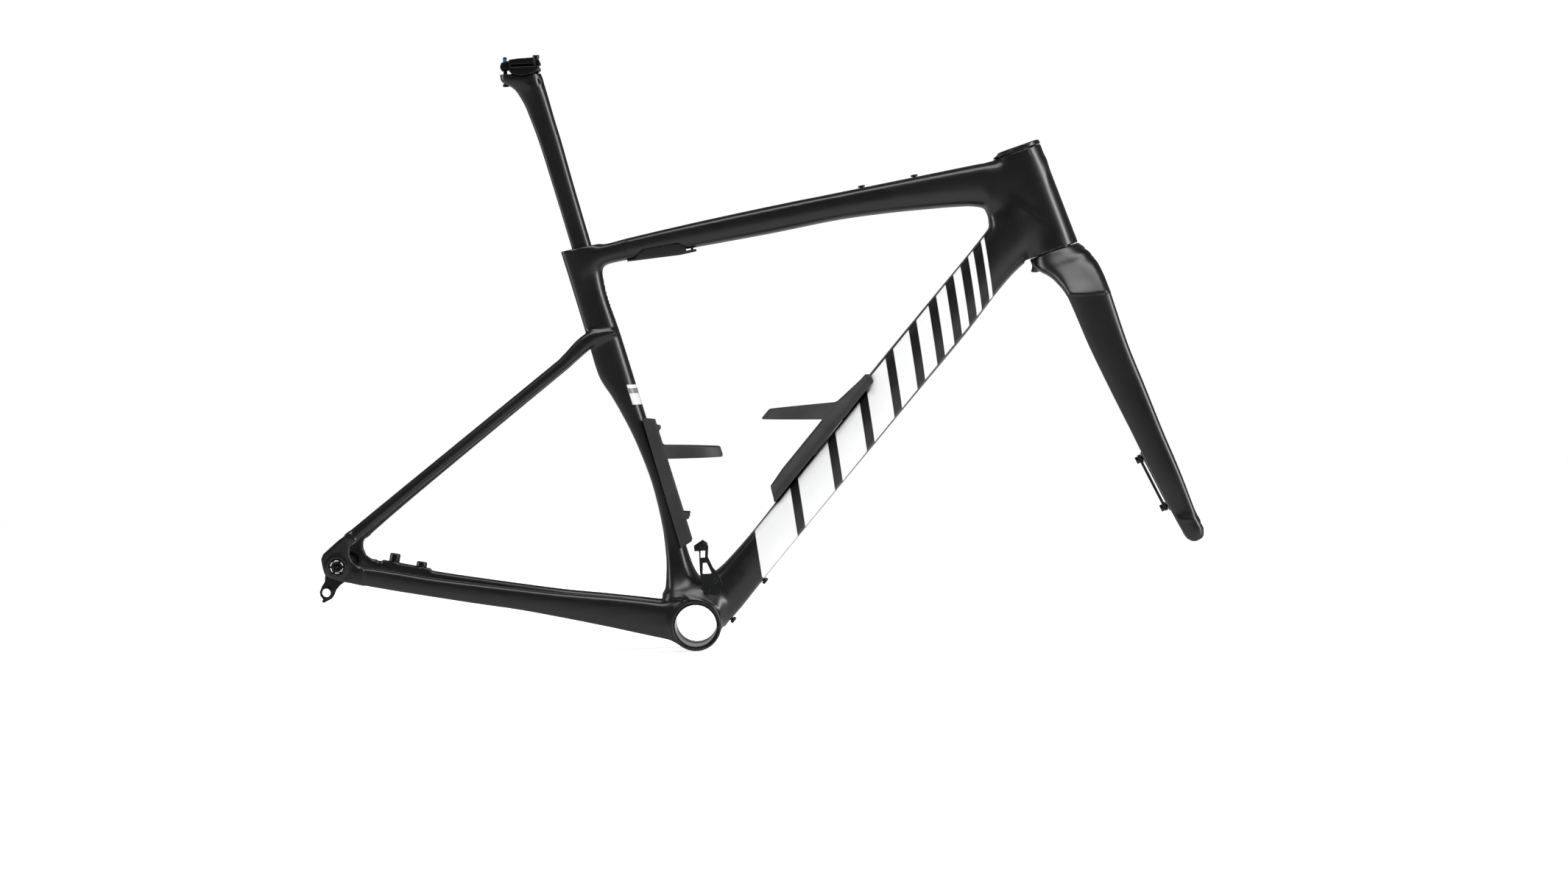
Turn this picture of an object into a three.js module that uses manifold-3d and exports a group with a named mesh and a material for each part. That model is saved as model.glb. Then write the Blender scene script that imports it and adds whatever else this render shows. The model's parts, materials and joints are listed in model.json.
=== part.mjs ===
// Road bicycle frameset: bonded carbon frame, fork, seatpost with saddle clamp, headset, axles, two bottle
// cages and the small hardware. Millimetres, +X forward, +Y left, +Z up, with both axles level.
import * as THREE from 'three';
import { mergeVertices } from 'three/addons/utils/BufferGeometryUtils.js';
import Module from 'manifold-3d';

const wasm = await Module();
wasm.setup();

// ---------- driving dimensions ----------
const GAP = 0.3; // bond line or clearance between neighbouring pieces
const WALL = 2.2; // laminate thickness of the tubes
const FINEST = 0.02; // surface detail smaller than this is merged away
const SHELL_WIDTH = 86.5;
const SHELL_RADIUS = 29;
const SHELL_BORE = 25.5;
const SLEEVE_BORE = 23.5;
const REAR_AXLE = { x: -402, z: 86.4 };
const FRONT_AXLE = { x: 575.5, z: 86.5 };
const REAR_SPACING = 142;
const FRONT_SPACING = 100;
const AXLE_RADIUS = 6;
const STEER_ORIGIN = { x: 429.5, z: 411.5 }; // where the steering axis crosses the crown seam
const STEER_LEAN = THREE.MathUtils.degToRad(17);
const STEERED = THREE.MathUtils.degToRad(-5); // the fork stands turned a little to the right
const HEAD_LENGTH = 121.5;
const STEERER_RADIUS = 14.3;
const DOWN_TUBE_LEAN = THREE.MathUtils.degToRad(41.5);
const SEAT_TUBE_SLOPE = 0.265; // rearward run per unit of height along the front edge
const SEAT_TUBE_FRONT = 16.1; // front edge of the seat tube at the height of the origin
const POST_SLOPE = 0.253;
const POST_FRONT = 9.6; // front edge of the post's straight part at the height of the origin
const POST_DEPTH = 24.2;
const POST_HALF = 10.2;
const CLAMP_CENTRE = { x: -171.5, z: 664 }; // axis the saddle clamp rocks about
const CLAMP_RADIUS = 27.6;
const BOTTLE_RADIUS = 37;
const WHEEL_CLEARANCE = 343; // fork crown clearance around the front axle

// ---------- finishes ----------
const CARBON = { color: 0x2b2c2e, roughness: 0.42, metalness: 0.1 };
const MATTE_BLACK = { color: 0x333436, roughness: 0.6, metalness: 0.1 };
const BLACK_ALLOY = { color: 0x26272a, roughness: 0.45, metalness: 0.7 };
const STEEL = { color: 0x8c8f93, roughness: 0.35, metalness: 1 };
const SILVER = { color: 0xc9cbce, roughness: 0.35, metalness: 1 };
const NYLON = { color: 0x3c3d3f, roughness: 0.7, metalness: 0 };

// ---------- solids ----------
const Y = new THREE.Vector3(0, 1, 0);
const point = (x, y, z) => new THREE.Vector3(x, y, z);

function signedVolume(position, index) {
  const [a, b, c] = [point(), point(), point()];
  let sum = 0;
  for (let i = 0; i < index.length; i += 3) {
    a.fromBufferAttribute(position, index[i]);
    b.fromBufferAttribute(position, index[i + 1]);
    c.fromBufferAttribute(position, index[i + 2]);
    sum += a.dot(b.cross(c));
  }
  return sum / 6;
}

// A closed geometry as a manifold solid, with its faces turned outwards.
function solidOf(geometry) {
  const plain = new THREE.BufferGeometry();
  plain.setAttribute('position', geometry.getAttribute('position'));
  if (geometry.index) plain.setIndex(geometry.index);
  const merged = mergeVertices(plain, 1e-4);
  const corners = [];
  for (let i = 0; i < merged.index.count; i += 3) {
    const face = [0, 1, 2].map((k) => merged.index.getX(i + k));
    if (new Set(face).size === 3) corners.push(...face);
  }
  if (signedVolume(merged.getAttribute('position'), corners) < 0) corners.reverse();
  return new wasm.Manifold(new wasm.Mesh({
    numProp: 3,
    vertProperties: new Float32Array(merged.getAttribute('position').array),
    triVerts: new Uint32Array(corners),
  }));
}

function geometryOf(solid) {
  const mesh = solid.getMesh();
  const geometry = new THREE.BufferGeometry();
  geometry.setAttribute('position', new THREE.BufferAttribute(mesh.vertProperties, 3));
  geometry.setIndex(new THREE.BufferAttribute(mesh.triVerts, 1));
  geometry.computeVertexNormals();
  return geometry;
}

const largest = (solid) => solid.decompose().sort((a, b) => b.volume() - a.volume())[0];
const join = (...solids) => solids.reduce((all, next) => all.add(next));
const cut = (solid, ...cutters) => cutters.reduce((rest, cutter) => rest.subtract(cutter), solid);
const placed = (solid, matrix) => solid.transform(matrix.elements);
const mirrored = (solid) => placed(solid, new THREE.Matrix4().makeScale(1, -1, 1));

function rod(from, to, radius, segments = 16, endRadius = radius) {
  const axis = to.clone().sub(from);
  const geometry = new THREE.CylinderGeometry(endRadius, radius, axis.length(), segments);
  geometry.applyQuaternion(new THREE.Quaternion().setFromUnitVectors(Y, axis.clone().normalize()));
  geometry.translate(...from.clone().add(to).multiplyScalar(0.5).toArray());
  return solidOf(geometry);
}

const crossRod = (x, z, y0, y1, radius, segments = 24) =>
  rod(point(x, y0, z), point(x, y1, z), radius, segments);

function block(x0, x1, y0, y1, z0, z1) {
  const geometry = new THREE.BoxGeometry(x1 - x0, y1 - y0, z1 - z0);
  return solidOf(geometry.translate((x0 + x1) / 2, (y0 + y1) / 2, (z0 + z1) / 2));
}

// An outline in the side view, [x, z] corners, given thickness from y0 to y1.
function plate(outline, y0, y1) {
  const shape = new THREE.Shape(outline.map(([x, z]) => new THREE.Vector2(x, z)));
  const geometry = new THREE.ExtrudeGeometry(shape, { depth: y1 - y0, bevelEnabled: false });
  return solidOf(geometry.rotateX(Math.PI / 2).translate(0, y1, 0));
}

// A turned piece about a local Z axis; the profile is a closed loop of [radius, z] corners.
function turned(profile, segments = 20) {
  const loop = [...profile, profile[0]].map(([r, z]) => new THREE.Vector2(r, z));
  return solidOf(new THREE.LatheGeometry(loop, segments).rotateX(Math.PI / 2));
}

const ringOf = (inner, outer, z0, z1) => turned([[inner, z0], [outer, z0], [outer, z1], [inner, z1]]);

// A tube is a list of sections. Each section is [lowX, lowZ, highX, highZ, half, y, square]: the two edge points
// seen from the side, half the width, the sideways position of its centre and how much squarer it is than its
// neighbours. The outline is a superellipse that is widest at `waist` of the way from low to high.
const ROUND = { waist: 0.5, lowPower: 2.3, highPower: 2.3, points: 16 };

function sectionRing([lowX, lowZ, highX, highZ, half, y = 0, square = 0], style, grow) {
  const low = point(lowX, y, lowZ);
  const high = point(highX, y, highZ);
  const depth = high.clone().sub(low);
  const span = depth.length();
  const up = depth.normalize();
  const centre = low.clone().addScaledVector(up, span * style.waist);
  return Array.from({ length: style.points }, (_, i) => {
    const angle = (2 * Math.PI * i) / style.points;
    const [c, s] = [Math.cos(angle), Math.sin(angle)];
    const power = 2 / ((c > 0 ? style.highPower : style.lowPower) + square);
    const reach = span * (c > 0 ? 1 - style.waist : style.waist) + grow;
    return centre.clone()
      .addScaledVector(up, Math.sign(c) * reach * Math.abs(c) ** power)
      .addScaledVector(Y, Math.sign(s) * (half + grow) * Math.abs(s) ** power);
  });
}

// The solid through a list of sections, grown or shrunk by `grow` and lengthened by `reach` at both ends.
function tube(sections, style = ROUND, grow = 0, reach = 0) {
  const rings = sections.map((section) => sectionRing(section, { ...ROUND, ...style }, grow));
  const middles = rings.map((ring) => ring.reduce((sum, p) => sum.add(p), point()).divideScalar(ring.length));
  const last = rings.length - 1;
  [[0, 1], [last, last - 1]].forEach(([end, next]) => {
    const out = middles[end].clone().sub(middles[next]).normalize().multiplyScalar(reach);
    rings[end].forEach((p) => p.add(out));
    middles[end].add(out);
  });
  const count = rings[0].length;
  const positions = [...rings.flat(), middles[0], middles[last]].flatMap((p) => p.toArray());
  const index = [];
  const cap = rings.length * count;
  for (let i = 0; i < count; i += 1) {
    const j = (i + 1) % count;
    for (let k = 0; k < last; k += 1) {
      const [a, b, c, d] = [k * count + i, k * count + j, (k + 1) * count + j, (k + 1) * count + i];
      index.push(a, b, c, a, c, d);
    }
    index.push(cap, j, i, cap + 1, last * count + i, last * count + j);
  }
  const geometry = new THREE.BufferGeometry();
  geometry.setAttribute('position', new THREE.Float32BufferAttribute(positions, 3));
  geometry.setIndex(index);
  return solidOf(geometry);
}

const hollow = (sections, style) => cut(
  tube(sections, style),
  tube(sections, { ...style, points: 12 }, -WALL, 3),
);

// ---------- the assembly ----------
const frameset = new THREE.Group();
const turnedTo = (lean) => new THREE.Matrix4().makeRotationY(lean);

function part(parent, name, solid, finish) {
  const mesh = new THREE.Mesh(geometryOf(solid.simplify(FINEST)), new THREE.MeshStandardMaterial(finish));
  mesh.name = name;
  parent.add(mesh);
  return mesh;
}

// A socket-head screw standing on z = 0 of its own frame, head up.
function screw(headRadius, headHeight, shankRadius, shankLength) {
  const body = join(
    rod(point(0, 0, 0), point(0, 0, headHeight), headRadius, 12),
    rod(point(0, 0, -shankLength), point(0, 0, 0.1), shankRadius, 8),
  );
  return cut(body, rod(point(0, 0, headHeight * 0.35), point(0, 0, headHeight + 1), headRadius * 0.5, 6));
}

// Turns a mesh so that its local Z points along `direction`, and moves it to `place`.
function aim(mesh, place, direction) {
  mesh.position.copy(place);
  mesh.quaternion.setFromUnitVectors(point(0, 0, 1), direction.clone().normalize());
  return mesh;
}

// The hole a screw's shank needs in what it passes through.
function screwHole(place, direction, radius, depth) {
  const along = direction.clone().normalize();
  const bottom = place.clone().addScaledVector(along, -depth);
  return rod(bottom, place.clone().addScaledVector(along, 3), radius + GAP, 8);
}

// ---------- steering axis frame: local Z runs up the head tube, local X forward ----------
const steering = new THREE.Group();
steering.position.set(STEER_ORIGIN.x, 0, STEER_ORIGIN.z);
steering.rotation.y = -STEER_LEAN;
frameset.add(steering);
steering.updateMatrix();
const toWorld = (solid) => placed(solid, steering.matrix);

// What turns with the fork: `steered` has the steering frame's axes, `forkFrame` undoes them again, so that the
// fork is drawn straight ahead in the frameset's own axes.
const steered = new THREE.Group();
steered.rotation.z = STEERED;
steering.add(steered);
const forkFrame = new THREE.Group();
steering.matrix.clone().invert().decompose(forkFrame.position, forkFrame.quaternion, forkFrame.scale);
steered.add(forkFrame);

// ---------- outlines of the tubes ----------
const HEAD_STYLE = { waist: 0.52, lowPower: 2.6, highPower: 2.2, points: 20 };
const HEAD_SECTIONS = [
  [-28, GAP, 28.8, GAP, 28.4],
  [-28, 45, 27.4, 45, 26.2],
  [-27, HEAD_LENGTH, 25.1, HEAD_LENGTH, 25.2],
];

const TOP_STYLE = { waist: 0.6, lowPower: 2.6, highPower: 3.6, points: 16 };
const TOP_SECTIONS = [
  [-112, 404, -112, 438, 16.5],
  [-85, 417, -85, 440.8, 17],
  [-60, 421.5, -60, 446.2, 17.5],
  [0, 430, 0, 457.6, 18.5],
  [100, 444, 100, 475, 19.5],
  [200, 459, 200, 491, 20.5],
  [270, 464.3, 270, 502.2, 21.5],
  [330, 466.5, 330, 511.8, 23],
  [350, 463.5, 350, 515, 24],
  [359, 447, 359, 516.5, 24.6],
  [398, 440, 398, 521, 25],
];

const DOWN_STYLE = { waist: 0.56, lowPower: 2.5, highPower: 4, points: 16 };
const DOWN_STATIONS = [
  // distance from the origin, upper offset, lower offset, half width
  [20, 36, 27, 41],
  [32, 33, 28, 36],
  [46, 27, 28.6, 31.5],
  [64, 20.5, 28.5, 28.5],
  [90, 17.7, 28.2, 26],
  [200, 17.7, 28.2, 24.5],
  [334, 17.7, 29.2, 24.5],
  [352, 26.3, 29.4, 24.5],
  [450, 25.8, 30.3, 24.2],
  [540, 25.4, 28.8, 25],
  [570, 26, 32.5, 25.4],
  [606, 27, 33, 25.4],
];
const downPoint = (along, off) => [
  along * Math.sin(DOWN_TUBE_LEAN) - off * Math.cos(DOWN_TUBE_LEAN),
  along * Math.cos(DOWN_TUBE_LEAN) + off * Math.sin(DOWN_TUBE_LEAN),
];
const DOWN_SECTIONS = DOWN_STATIONS.map(([s, up, down, half]) =>
  [...downPoint(s, -down), ...downPoint(s, up), half]);

const seatFront = (z) => SEAT_TUBE_FRONT - SEAT_TUBE_SLOPE * z;
const SEAT_STYLE = { waist: 0.45, lowPower: 4, highPower: 2.3, points: 16 };
const SEAT_SECTIONS = [
  // height, rear edge, front edge, half width
  [32.3, -36, 24, 39],
  [42, -34, 14, 33],
  [55, -32.5, 5, 26.5],
  [72, -31.5, -2.5, 21.5],
  [95, -32.5, seatFront(95), 18.5],
  [150, -41, seatFront(150), 17],
  [210, -60, seatFront(210), 16.5],
  [262, -84.5, seatFront(262), 16.2],
  [288, -99.5, seatFront(288), 16],
  [330, -110.5, seatFront(330), 15.8],
  [400, -128.6, seatFront(400), 15.6],
  [450, -142, -96, 16],
].map(([z, rear, front, half]) => [rear, z, front, z, half]);

const POST_STYLE = { waist: 0.42, lowPower: 4, highPower: 2.2, points: 16 };
const postSection = (z, front, depth, half) => [front - depth, z, front, z, half];
const postFront = (z) => POST_FRONT - POST_SLOPE * z;
const POST_SECTIONS = [
  postSection(300, postFront(300), POST_DEPTH, POST_HALF),
  postSection(512, postFront(512), POST_DEPTH, POST_HALF),
  postSection(565, -132.6, 26, 10.4),
  postSection(588, -138.6, 27.6, 10.8),
  postSection(602, -142, 29.2, 11.4),
  postSection(612, -144.4, 31.8, 12.2),
  postSection(620, -146.4, 34.8, 13.2),
  postSection(625.5, -147.8, 39.4, 14.4),
  postSection(629, -148.7, 45.6, 15.2),
  postSection(633, -149.6, 48.3, 15.8),
  postSection(639, -151.6, 46.8, 16),
];

const CHAINSTAY_STYLE = { waist: 0.5, lowPower: 3, highPower: 3.4, points: 12 };
const CHAINSTAY_SECTIONS = [
  // x, lower edge, upper edge, half width, sideways position
  [-20, -19, 31.3, 11, 32],
  [-60, -8, 31.3, 9, 31.5],
  [-100, 2.5, 37, 8.5, 33.5],
  [-150, 15, 43.5, 8.5, 38],
  [-200, 27, 51.5, 8, 46],
  [-250, 37, 60, 7.5, 54],
  [-300, 47.5, 69, 7, 62],
  [-350, 58.5, 80, 6.5, 71.5],
  [-374, 64.5, 84, 6, 77],
].map(([x, low, high, half, y]) => [x, low, x, high, half, -y]);

const SEATSTAY_STYLE = { waist: 0.5, lowPower: 2.6, highPower: 2.6, points: 14 };
const SEATSTAY_SECTIONS = [
  // lower edge x and z, upper edge x and z, half width, sideways position
  [-379, 114.5, -387, 125.5, 5, 77],
  [-352, 136, -359.5, 146.5, 5.2, 71],
  [-250, 213.5, -257.4, 224, 5.8, 47],
  [-140, 296, -147.4, 307.5, 6.2, 22.5],
  [-96, 329, -103, 341, 6.2, 13.5],
].map(([lowX, lowZ, highX, highZ, half, y]) => [lowX, lowZ, highX, highZ, half, -y]);

// ---------- shared screw places ----------
const topZ = (x) => 457.6 + (x > 100 ? (x - 100) * 0.161 + 17.4 : x * 0.174);
const TOP_BOLTS = [211, 272].map((x) => ({ place: point(x, 0, topZ(x) + 0.4), up: point(-0.16, 0, 1) }));
const UNDER_BOLTS = [88, 30].map((s) => {
  const [x, z] = downPoint(s, -28.9);
  return { place: point(x, 0, z), up: point(Math.cos(DOWN_TUBE_LEAN), 0, -Math.sin(DOWN_TUBE_LEAN)) };
});
const HANGER_BOLTS = [[14, 39], [24, 50]].map(([x, z]) => ({ place: point(x, -36.6, z), up: point(0, -1, 0) }));

// ---------- bottom bracket ----------
const PEDESTAL = [
  [-28, 0, 28.6, 0, SHELL_WIDTH / 2],
  [-31, 18, 32, 18, 43],
  [-34, 27, 33, 27, 42.4],
  [-35, 32, 31, 32, 41],
];
const shellBody = (grow) => join(
  crossRod(0, 0, -SHELL_WIDTH / 2 - grow, SHELL_WIDTH / 2 + grow, SHELL_RADIUS + grow, 32),
  tube(PEDESTAL, { waist: 0.5, lowPower: 7, highPower: 7, points: 16 }, grow),
);

function buildBottomBracket() {
  const bore = crossRod(0, 0, -50, 50, SHELL_BORE, 32);
  const shell = cut(shellBody(0), bore, ...UNDER_BOLTS.map((b) => screwHole(b.place, b.up, 2.5, 9)));
  part(frameset, 'bottom_bracket_shell', largest(shell), CARBON);
  const sleeve = cut(
    crossRod(0, 0, -SHELL_WIDTH / 2, SHELL_WIDTH / 2, SHELL_BORE - GAP, 32),
    crossRod(0, 0, -50, 50, SLEEVE_BORE, 32),
  );
  part(frameset, 'bottom_bracket_sleeve', sleeve, SILVER);
}

// ---------- front triangle ----------
const headOuter = (grow) => toWorld(tube(HEAD_SECTIONS, HEAD_STYLE, grow, grow));
const belowSeam = toWorld(rod(point(0, 0, -60), point(0, 0, GAP), 37, 24));
const aboveSeam = toWorld(block(-45, 60, -60, 60, HEAD_LENGTH, 200));

function buildHeadTube() {
  const bore = turned([
    [0, -5], [26.3, -5], [26.3, 9], [22.5, 10], [22.5, 112], [23.7, 113], [23.7, 130], [0, 130],
  ], 32);
  part(steering, 'head_tube', cut(tube(HEAD_SECTIONS, HEAD_STYLE), bore), CARBON);
}

// The flattened underside of the top tube opens here for the seatpost clamp.
const POCKET = [[-52, 405], [-52, 424], [-44, 432], [-3, 438], [6, 433], [6, 405]];
const pusherSlot = block(-106, -84, -7.3, 7.3, 423.4, 434.6);

function buildTopTube() {
  const solid = cut(
    hollow(TOP_SECTIONS, TOP_STYLE),
    headOuter(GAP),
    tube(SEAT_SECTIONS, SEAT_STYLE, GAP),
    aboveSeam,
    plate(POCKET, -30, 30),
    ...TOP_BOLTS.map((b) => screwHole(b.place, b.up, 2.5, 9)),
    ...COVER_SCREWS.map((b) => screwHole(b.place, b.up, 1.5, 9)),
    clampPassage,
  );
  part(frameset, 'top_tube', largest(solid), CARBON);
}

function buildDownTube() {
  const solid = cut(
    hollow(DOWN_SECTIONS, DOWN_STYLE),
    headOuter(GAP),
    tube(TOP_SECTIONS, TOP_STYLE, GAP),
    tube(SEAT_SECTIONS, SEAT_STYLE, GAP),
    shellBody(GAP),
    belowSeam,
    ...UNDER_BOLTS.map((b) => screwHole(b.place, b.up, 2.5, 9)),
    ...HANGER_BOLTS.map((b) => screwHole(b.place, b.up, 2, 16)),
    ...DOWN_CAGE_BOLTS.map((b) => screwHole(b.place, b.up, 2.5, 9)),
  );
  part(frameset, 'down_tube', largest(solid), CARBON);
}

const postBore = tube([
  postSection(250, postFront(250), POST_DEPTH, POST_HALF),
  postSection(470, postFront(470), POST_DEPTH, POST_HALF),
], POST_STYLE, 0.35);
const topSlant = plate([[-170, 428.4], [-60, 446.8], [-60, 520], [-170, 520]], -40, 40);

function buildSeatTube() {
  const lower = SEAT_SECTIONS.slice(0, 9);
  const rearVoid = tube([
    [-98, 280, -88, 280, 11],
    [-126, 400, -119, 400, 11],
    [-130, 416, -124, 416, 11],
  ], { lowPower: 4, highPower: 4, points: 12 });
  const solid = cut(
    tube(SEAT_SECTIONS, SEAT_STYLE),
    tube(lower, SEAT_STYLE, -WALL, 3),
    rearVoid,
    postBore,
    topSlant,
    pusherSlot,
    ...SEAT_CAGE_BOLTS.map((b) => screwHole(b.place, b.up, 2.5, 9)),
    ...HANGER_BOLTS.map((b) => screwHole(b.place, b.up, 2, 16)),
  );
  part(frameset, 'seat_tube', largest(solid), CARBON);
}

// ---------- rear triangle ----------
const HUB_FACE = REAR_SPACING / 2;
const HANGER_THICKNESS = 4;
const DROPOUT_OUTLINE = [
  [-373, 64.6], [-373, 84.6], [-379, 86.6], [-384.5, 91], [-387.6, 99], [-387.4, 106], [-384.6, 111.5],
  [-379.4, 115.2], [-387.4, 125.8], [-400, 116], [-417, 101.5], [-419.5, 96], [-418.5, 88], [-416.5, 79],
  [-410, 73.5], [-402, 71], [-393, 68.5],
];
const HANGER_OUTLINE = [
  [-414.5, 90], [-416.6, 75], [-417, 70], [-420.5, 65], [-423.2, 59], [-422.6, 54], [-420, 50], [-421.4, 47],
  [-419, 46], [-410, 50.2], [-407, 54], [-404.5, 60], [-400, 65], [-394, 69], [-390, 78], [-392, 92],
  [-402, 98.5],
  [-410, 97],
];
const HANGER_EYE = { x: -415.8, z: 57.2, radius: 4.8 };

const PAD_SLOPE = 0.21;
const padTop = (x) => 84.5 - PAD_SLOPE * (x + 364);
const BRAKE_BOLTS = [-351.5, -319.5].map((x) => ({
  place: point(x, 2.2 - 0.2 * x, padTop(x)),
  up: point(PAD_SLOPE, 0, 1).normalize(),
}));

function buildRearTriangle() {
  const shell = shellBody(GAP);
  const seatCutter = tube(SEAT_SECTIONS, SEAT_STYLE, GAP);
  const chainstay = largest(cut(hollow(CHAINSTAY_SECTIONS, CHAINSTAY_STYLE), shell, seatCutter));
  const seatstay = largest(cut(tube(SEATSTAY_SECTIONS, SEATSTAY_STYLE), seatCutter));
  const stayCutters = [
    tube(CHAINSTAY_SECTIONS, CHAINSTAY_STYLE, GAP, GAP),
    tube(SEATSTAY_SECTIONS, SEATSTAY_STYLE, GAP, GAP),
  ];
  const { x, z } = REAR_AXLE;
  const outerFace = HUB_FACE + 12;
  const dropout = (inner) => cut(
    join(
      plate(DROPOUT_OUTLINE, -outerFace, -inner),
      crossRod(x, z, -outerFace - 0.8, -outerFace + 1, 12),
    ),
    ...stayCutters,
  );
  part(frameset, 'chainstay_right', chainstay, CARBON);
  part(frameset, 'seatstay_right', seatstay, CARBON);
  part(frameset, 'seatstay_left', mirrored(seatstay), CARBON);

  const pad = brakePad();
  const leftStay = cut(
    join(mirrored(chainstay), pad),
    ...BRAKE_BOLTS.map((b) => screwHole(b.place, b.up, 2.5, 24)),
  );
  part(frameset, 'chainstay_left', largest(leftStay), CARBON);

  const hangerSeat = HUB_FACE + HANGER_THICKNESS + GAP;
  const right = cut(dropout(hangerSeat), crossRod(x, z, -90, -60, 9.3), hangerScrewHole);
  part(frameset, 'dropout_right', right, CARBON);
  const left = cut(
    join(mirrored(dropout(HUB_FACE)), crossRod(x, z, HUB_FACE, HUB_FACE + 2, 14.5)),
    crossRod(x, z, 60, 90, 8.3),
  );
  part(frameset, 'dropout_left', left, CARBON);

  const hanger = cut(
    join(
      plate(HANGER_OUTLINE, -HUB_FACE - HANGER_THICKNESS, -HUB_FACE),
      crossRod(HANGER_EYE.x, HANGER_EYE.z, -HUB_FACE - HANGER_THICKNESS - 0.8, -HUB_FACE - 1, 7),
    ),
    crossRod(HANGER_EYE.x, HANGER_EYE.z, -90, -60, HANGER_EYE.radius),
    crossRod(x, z, -90, -60, AXLE_RADIUS + GAP),
    hangerScrewHole,
  );
  part(frameset, 'derailleur_hanger', hanger, BLACK_ALLOY);
  const hangerScrew = part(frameset, 'hanger_screw', screw(3, 1.2, 1.6, 9), STEEL);
  aim(hangerScrew, point(HANGER_SCREW.x, -HUB_FACE - HANGER_THICKNESS + 2.2, HANGER_SCREW.z), Y);

  const notches = [0, 60, 120].map((angle) => {
    const cutter = block(-9.5, 9.5, -90, -80.2, -1.2, 1.2);
    const turn = new THREE.Matrix4().makeRotationY(THREE.MathUtils.degToRad(angle));
    return placed(cutter, turn.premultiply(new THREE.Matrix4().makeTranslation(x, 0, z)));
  });
  const nut = cut(
    crossRod(x, z, -outerFace, -hangerSeat, 9),
    crossRod(x, z, -90, -60, AXLE_RADIUS + GAP),
    ...notches,
  );
  part(frameset, 'rear_axle_nut', largest(nut), BLACK_ALLOY);
  part(frameset, 'rear_thru_axle', thruAxle(x, z, outerFace, -HUB_FACE - 10), BLACK_ALLOY);
}

const HANGER_SCREW = { x: -396, z: 73.6 };
const hangerScrewHole = join(
  crossRod(HANGER_SCREW.x, HANGER_SCREW.z, -84, -60, 1.6 + GAP, 12),
  crossRod(HANGER_SCREW.x, HANGER_SCREW.z, -HUB_FACE - HANGER_THICKNESS + 2, -60, 3 + GAP, 16),
);

// The flat seat for the rear brake on top of the left chainstay.
function brakePad() {
  const outline = [[-364, 71], [-364, padTop(-364)], [-309, padTop(-309)], [-309, 62]];
  const centre = tube([
    [-364, 60, -364, 90, 7.4, 75],
    [-309, 50, -309, 80, 7.4, 64],
  ], { lowPower: 6, highPower: 6, points: 16 });
  return plate(outline, 50, 90).intersect(centre);
}

// A thru-axle that enters from the left: flush head with a hex socket, plain shaft to the right.
function thruAxle(x, z, headFace, tip) {
  const body = join(
    crossRod(x, z, tip, headFace - 4, AXLE_RADIUS, 20),
    crossRod(x, z, headFace - 9, headFace, 8, 20),
  );
  const socket = crossRod(x, z, headFace - 6, headFace + 1, 3.4, 6);
  return cut(body, socket, crossRod(x, z, tip - 1, tip + 12, 3.5, 12));
}

// ---------- seatpost and its clamp ----------
const clampLean = Math.atan(0.153);
const clampPassage = join(
  block(-106, -78, -7.3, 7.3, 423.4, 434.6),
  rod(point(-80, 0, 429.6), point(-40, 0, 429.6 + 40 * Math.tan(clampLean)), 5.4, 16),
);
const COVER_SCREWS = [[-57, 419.9], [13.5, 427.8]].map(([x, z]) => ({
  place: point(x, 0, z + 1.4),
  up: point(0.12, 0, -1),
}));

function buildSeatClamp() {
  const pusherFace = (z) => postFront(z) + 0.4;
  const pusherOutline = [[pusherFace(424), 424], [-81, 424], [-81, 434], [pusherFace(434), 434]];
  const screwStart = point(-80.3, 0, 429.7);
  const along = point(Math.cos(clampLean), 0, Math.sin(clampLean));
  part(frameset, 'seat_clamp_pusher', plate(pusherOutline, -7, 7), BLACK_ALLOY);

  const clampScrew = part(frameset, 'seat_clamp_screw', screw(4.6, 5, 3, 20), STEEL);
  aim(clampScrew, screwStart.clone().addScaledVector(along, 20), along);

  const web = cut(
    tube(TOP_SECTIONS, { ...TOP_STYLE, points: 12 }, -WALL - GAP).intersect(block(-73, -65, -30, 30, 400, 460)),
    rod(screwStart, screwStart.clone().addScaledVector(along, 40), 3.3, 12),
  );
  part(frameset, 'seat_clamp_bridge', largest(web), BLACK_ALLOY);

  const tray = plate([[-48, 424], [-43, 430.6], [-4, 436.4], [2, 433], [2, 428]], -12.5, 12.5);
  const lid = plate([[-62, 419.4], [-61, 422.2], [-20, 425], [18, 430.6], [18.4, 428], [0, 424.6]], -8.5, 8.5);
  const cover = cut(
    join(tray, lid),
    ...COVER_SCREWS.map((b) => rod(b.place, b.place.clone().addScaledVector(b.up, 6), 2.9, 16)),
    ...COVER_SCREWS.map((b) => screwHole(b.place, b.up, 1.5, 6)),
    tube(TOP_SECTIONS, TOP_STYLE, GAP).subtract(plate(POCKET, -30, 30)),
    rod(screwStart, screwStart.clone().addScaledVector(along, 50), 5.6, 16),
  );
  part(frameset, 'seat_clamp_cover', largest(cover), MATTE_BLACK);
  ['seat_clamp_cover_screw_rear', 'seat_clamp_cover_screw_front'].forEach((name, i) => {
    aim(part(frameset, name, screw(2.6, 1.5, 1.5, 5), STEEL), COVER_SCREWS[i].place, COVER_SCREWS[i].up);
  });
}

const FRONT_SCREW_X = -156.6;
const REAR_SCREW_X = -192.4;

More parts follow.
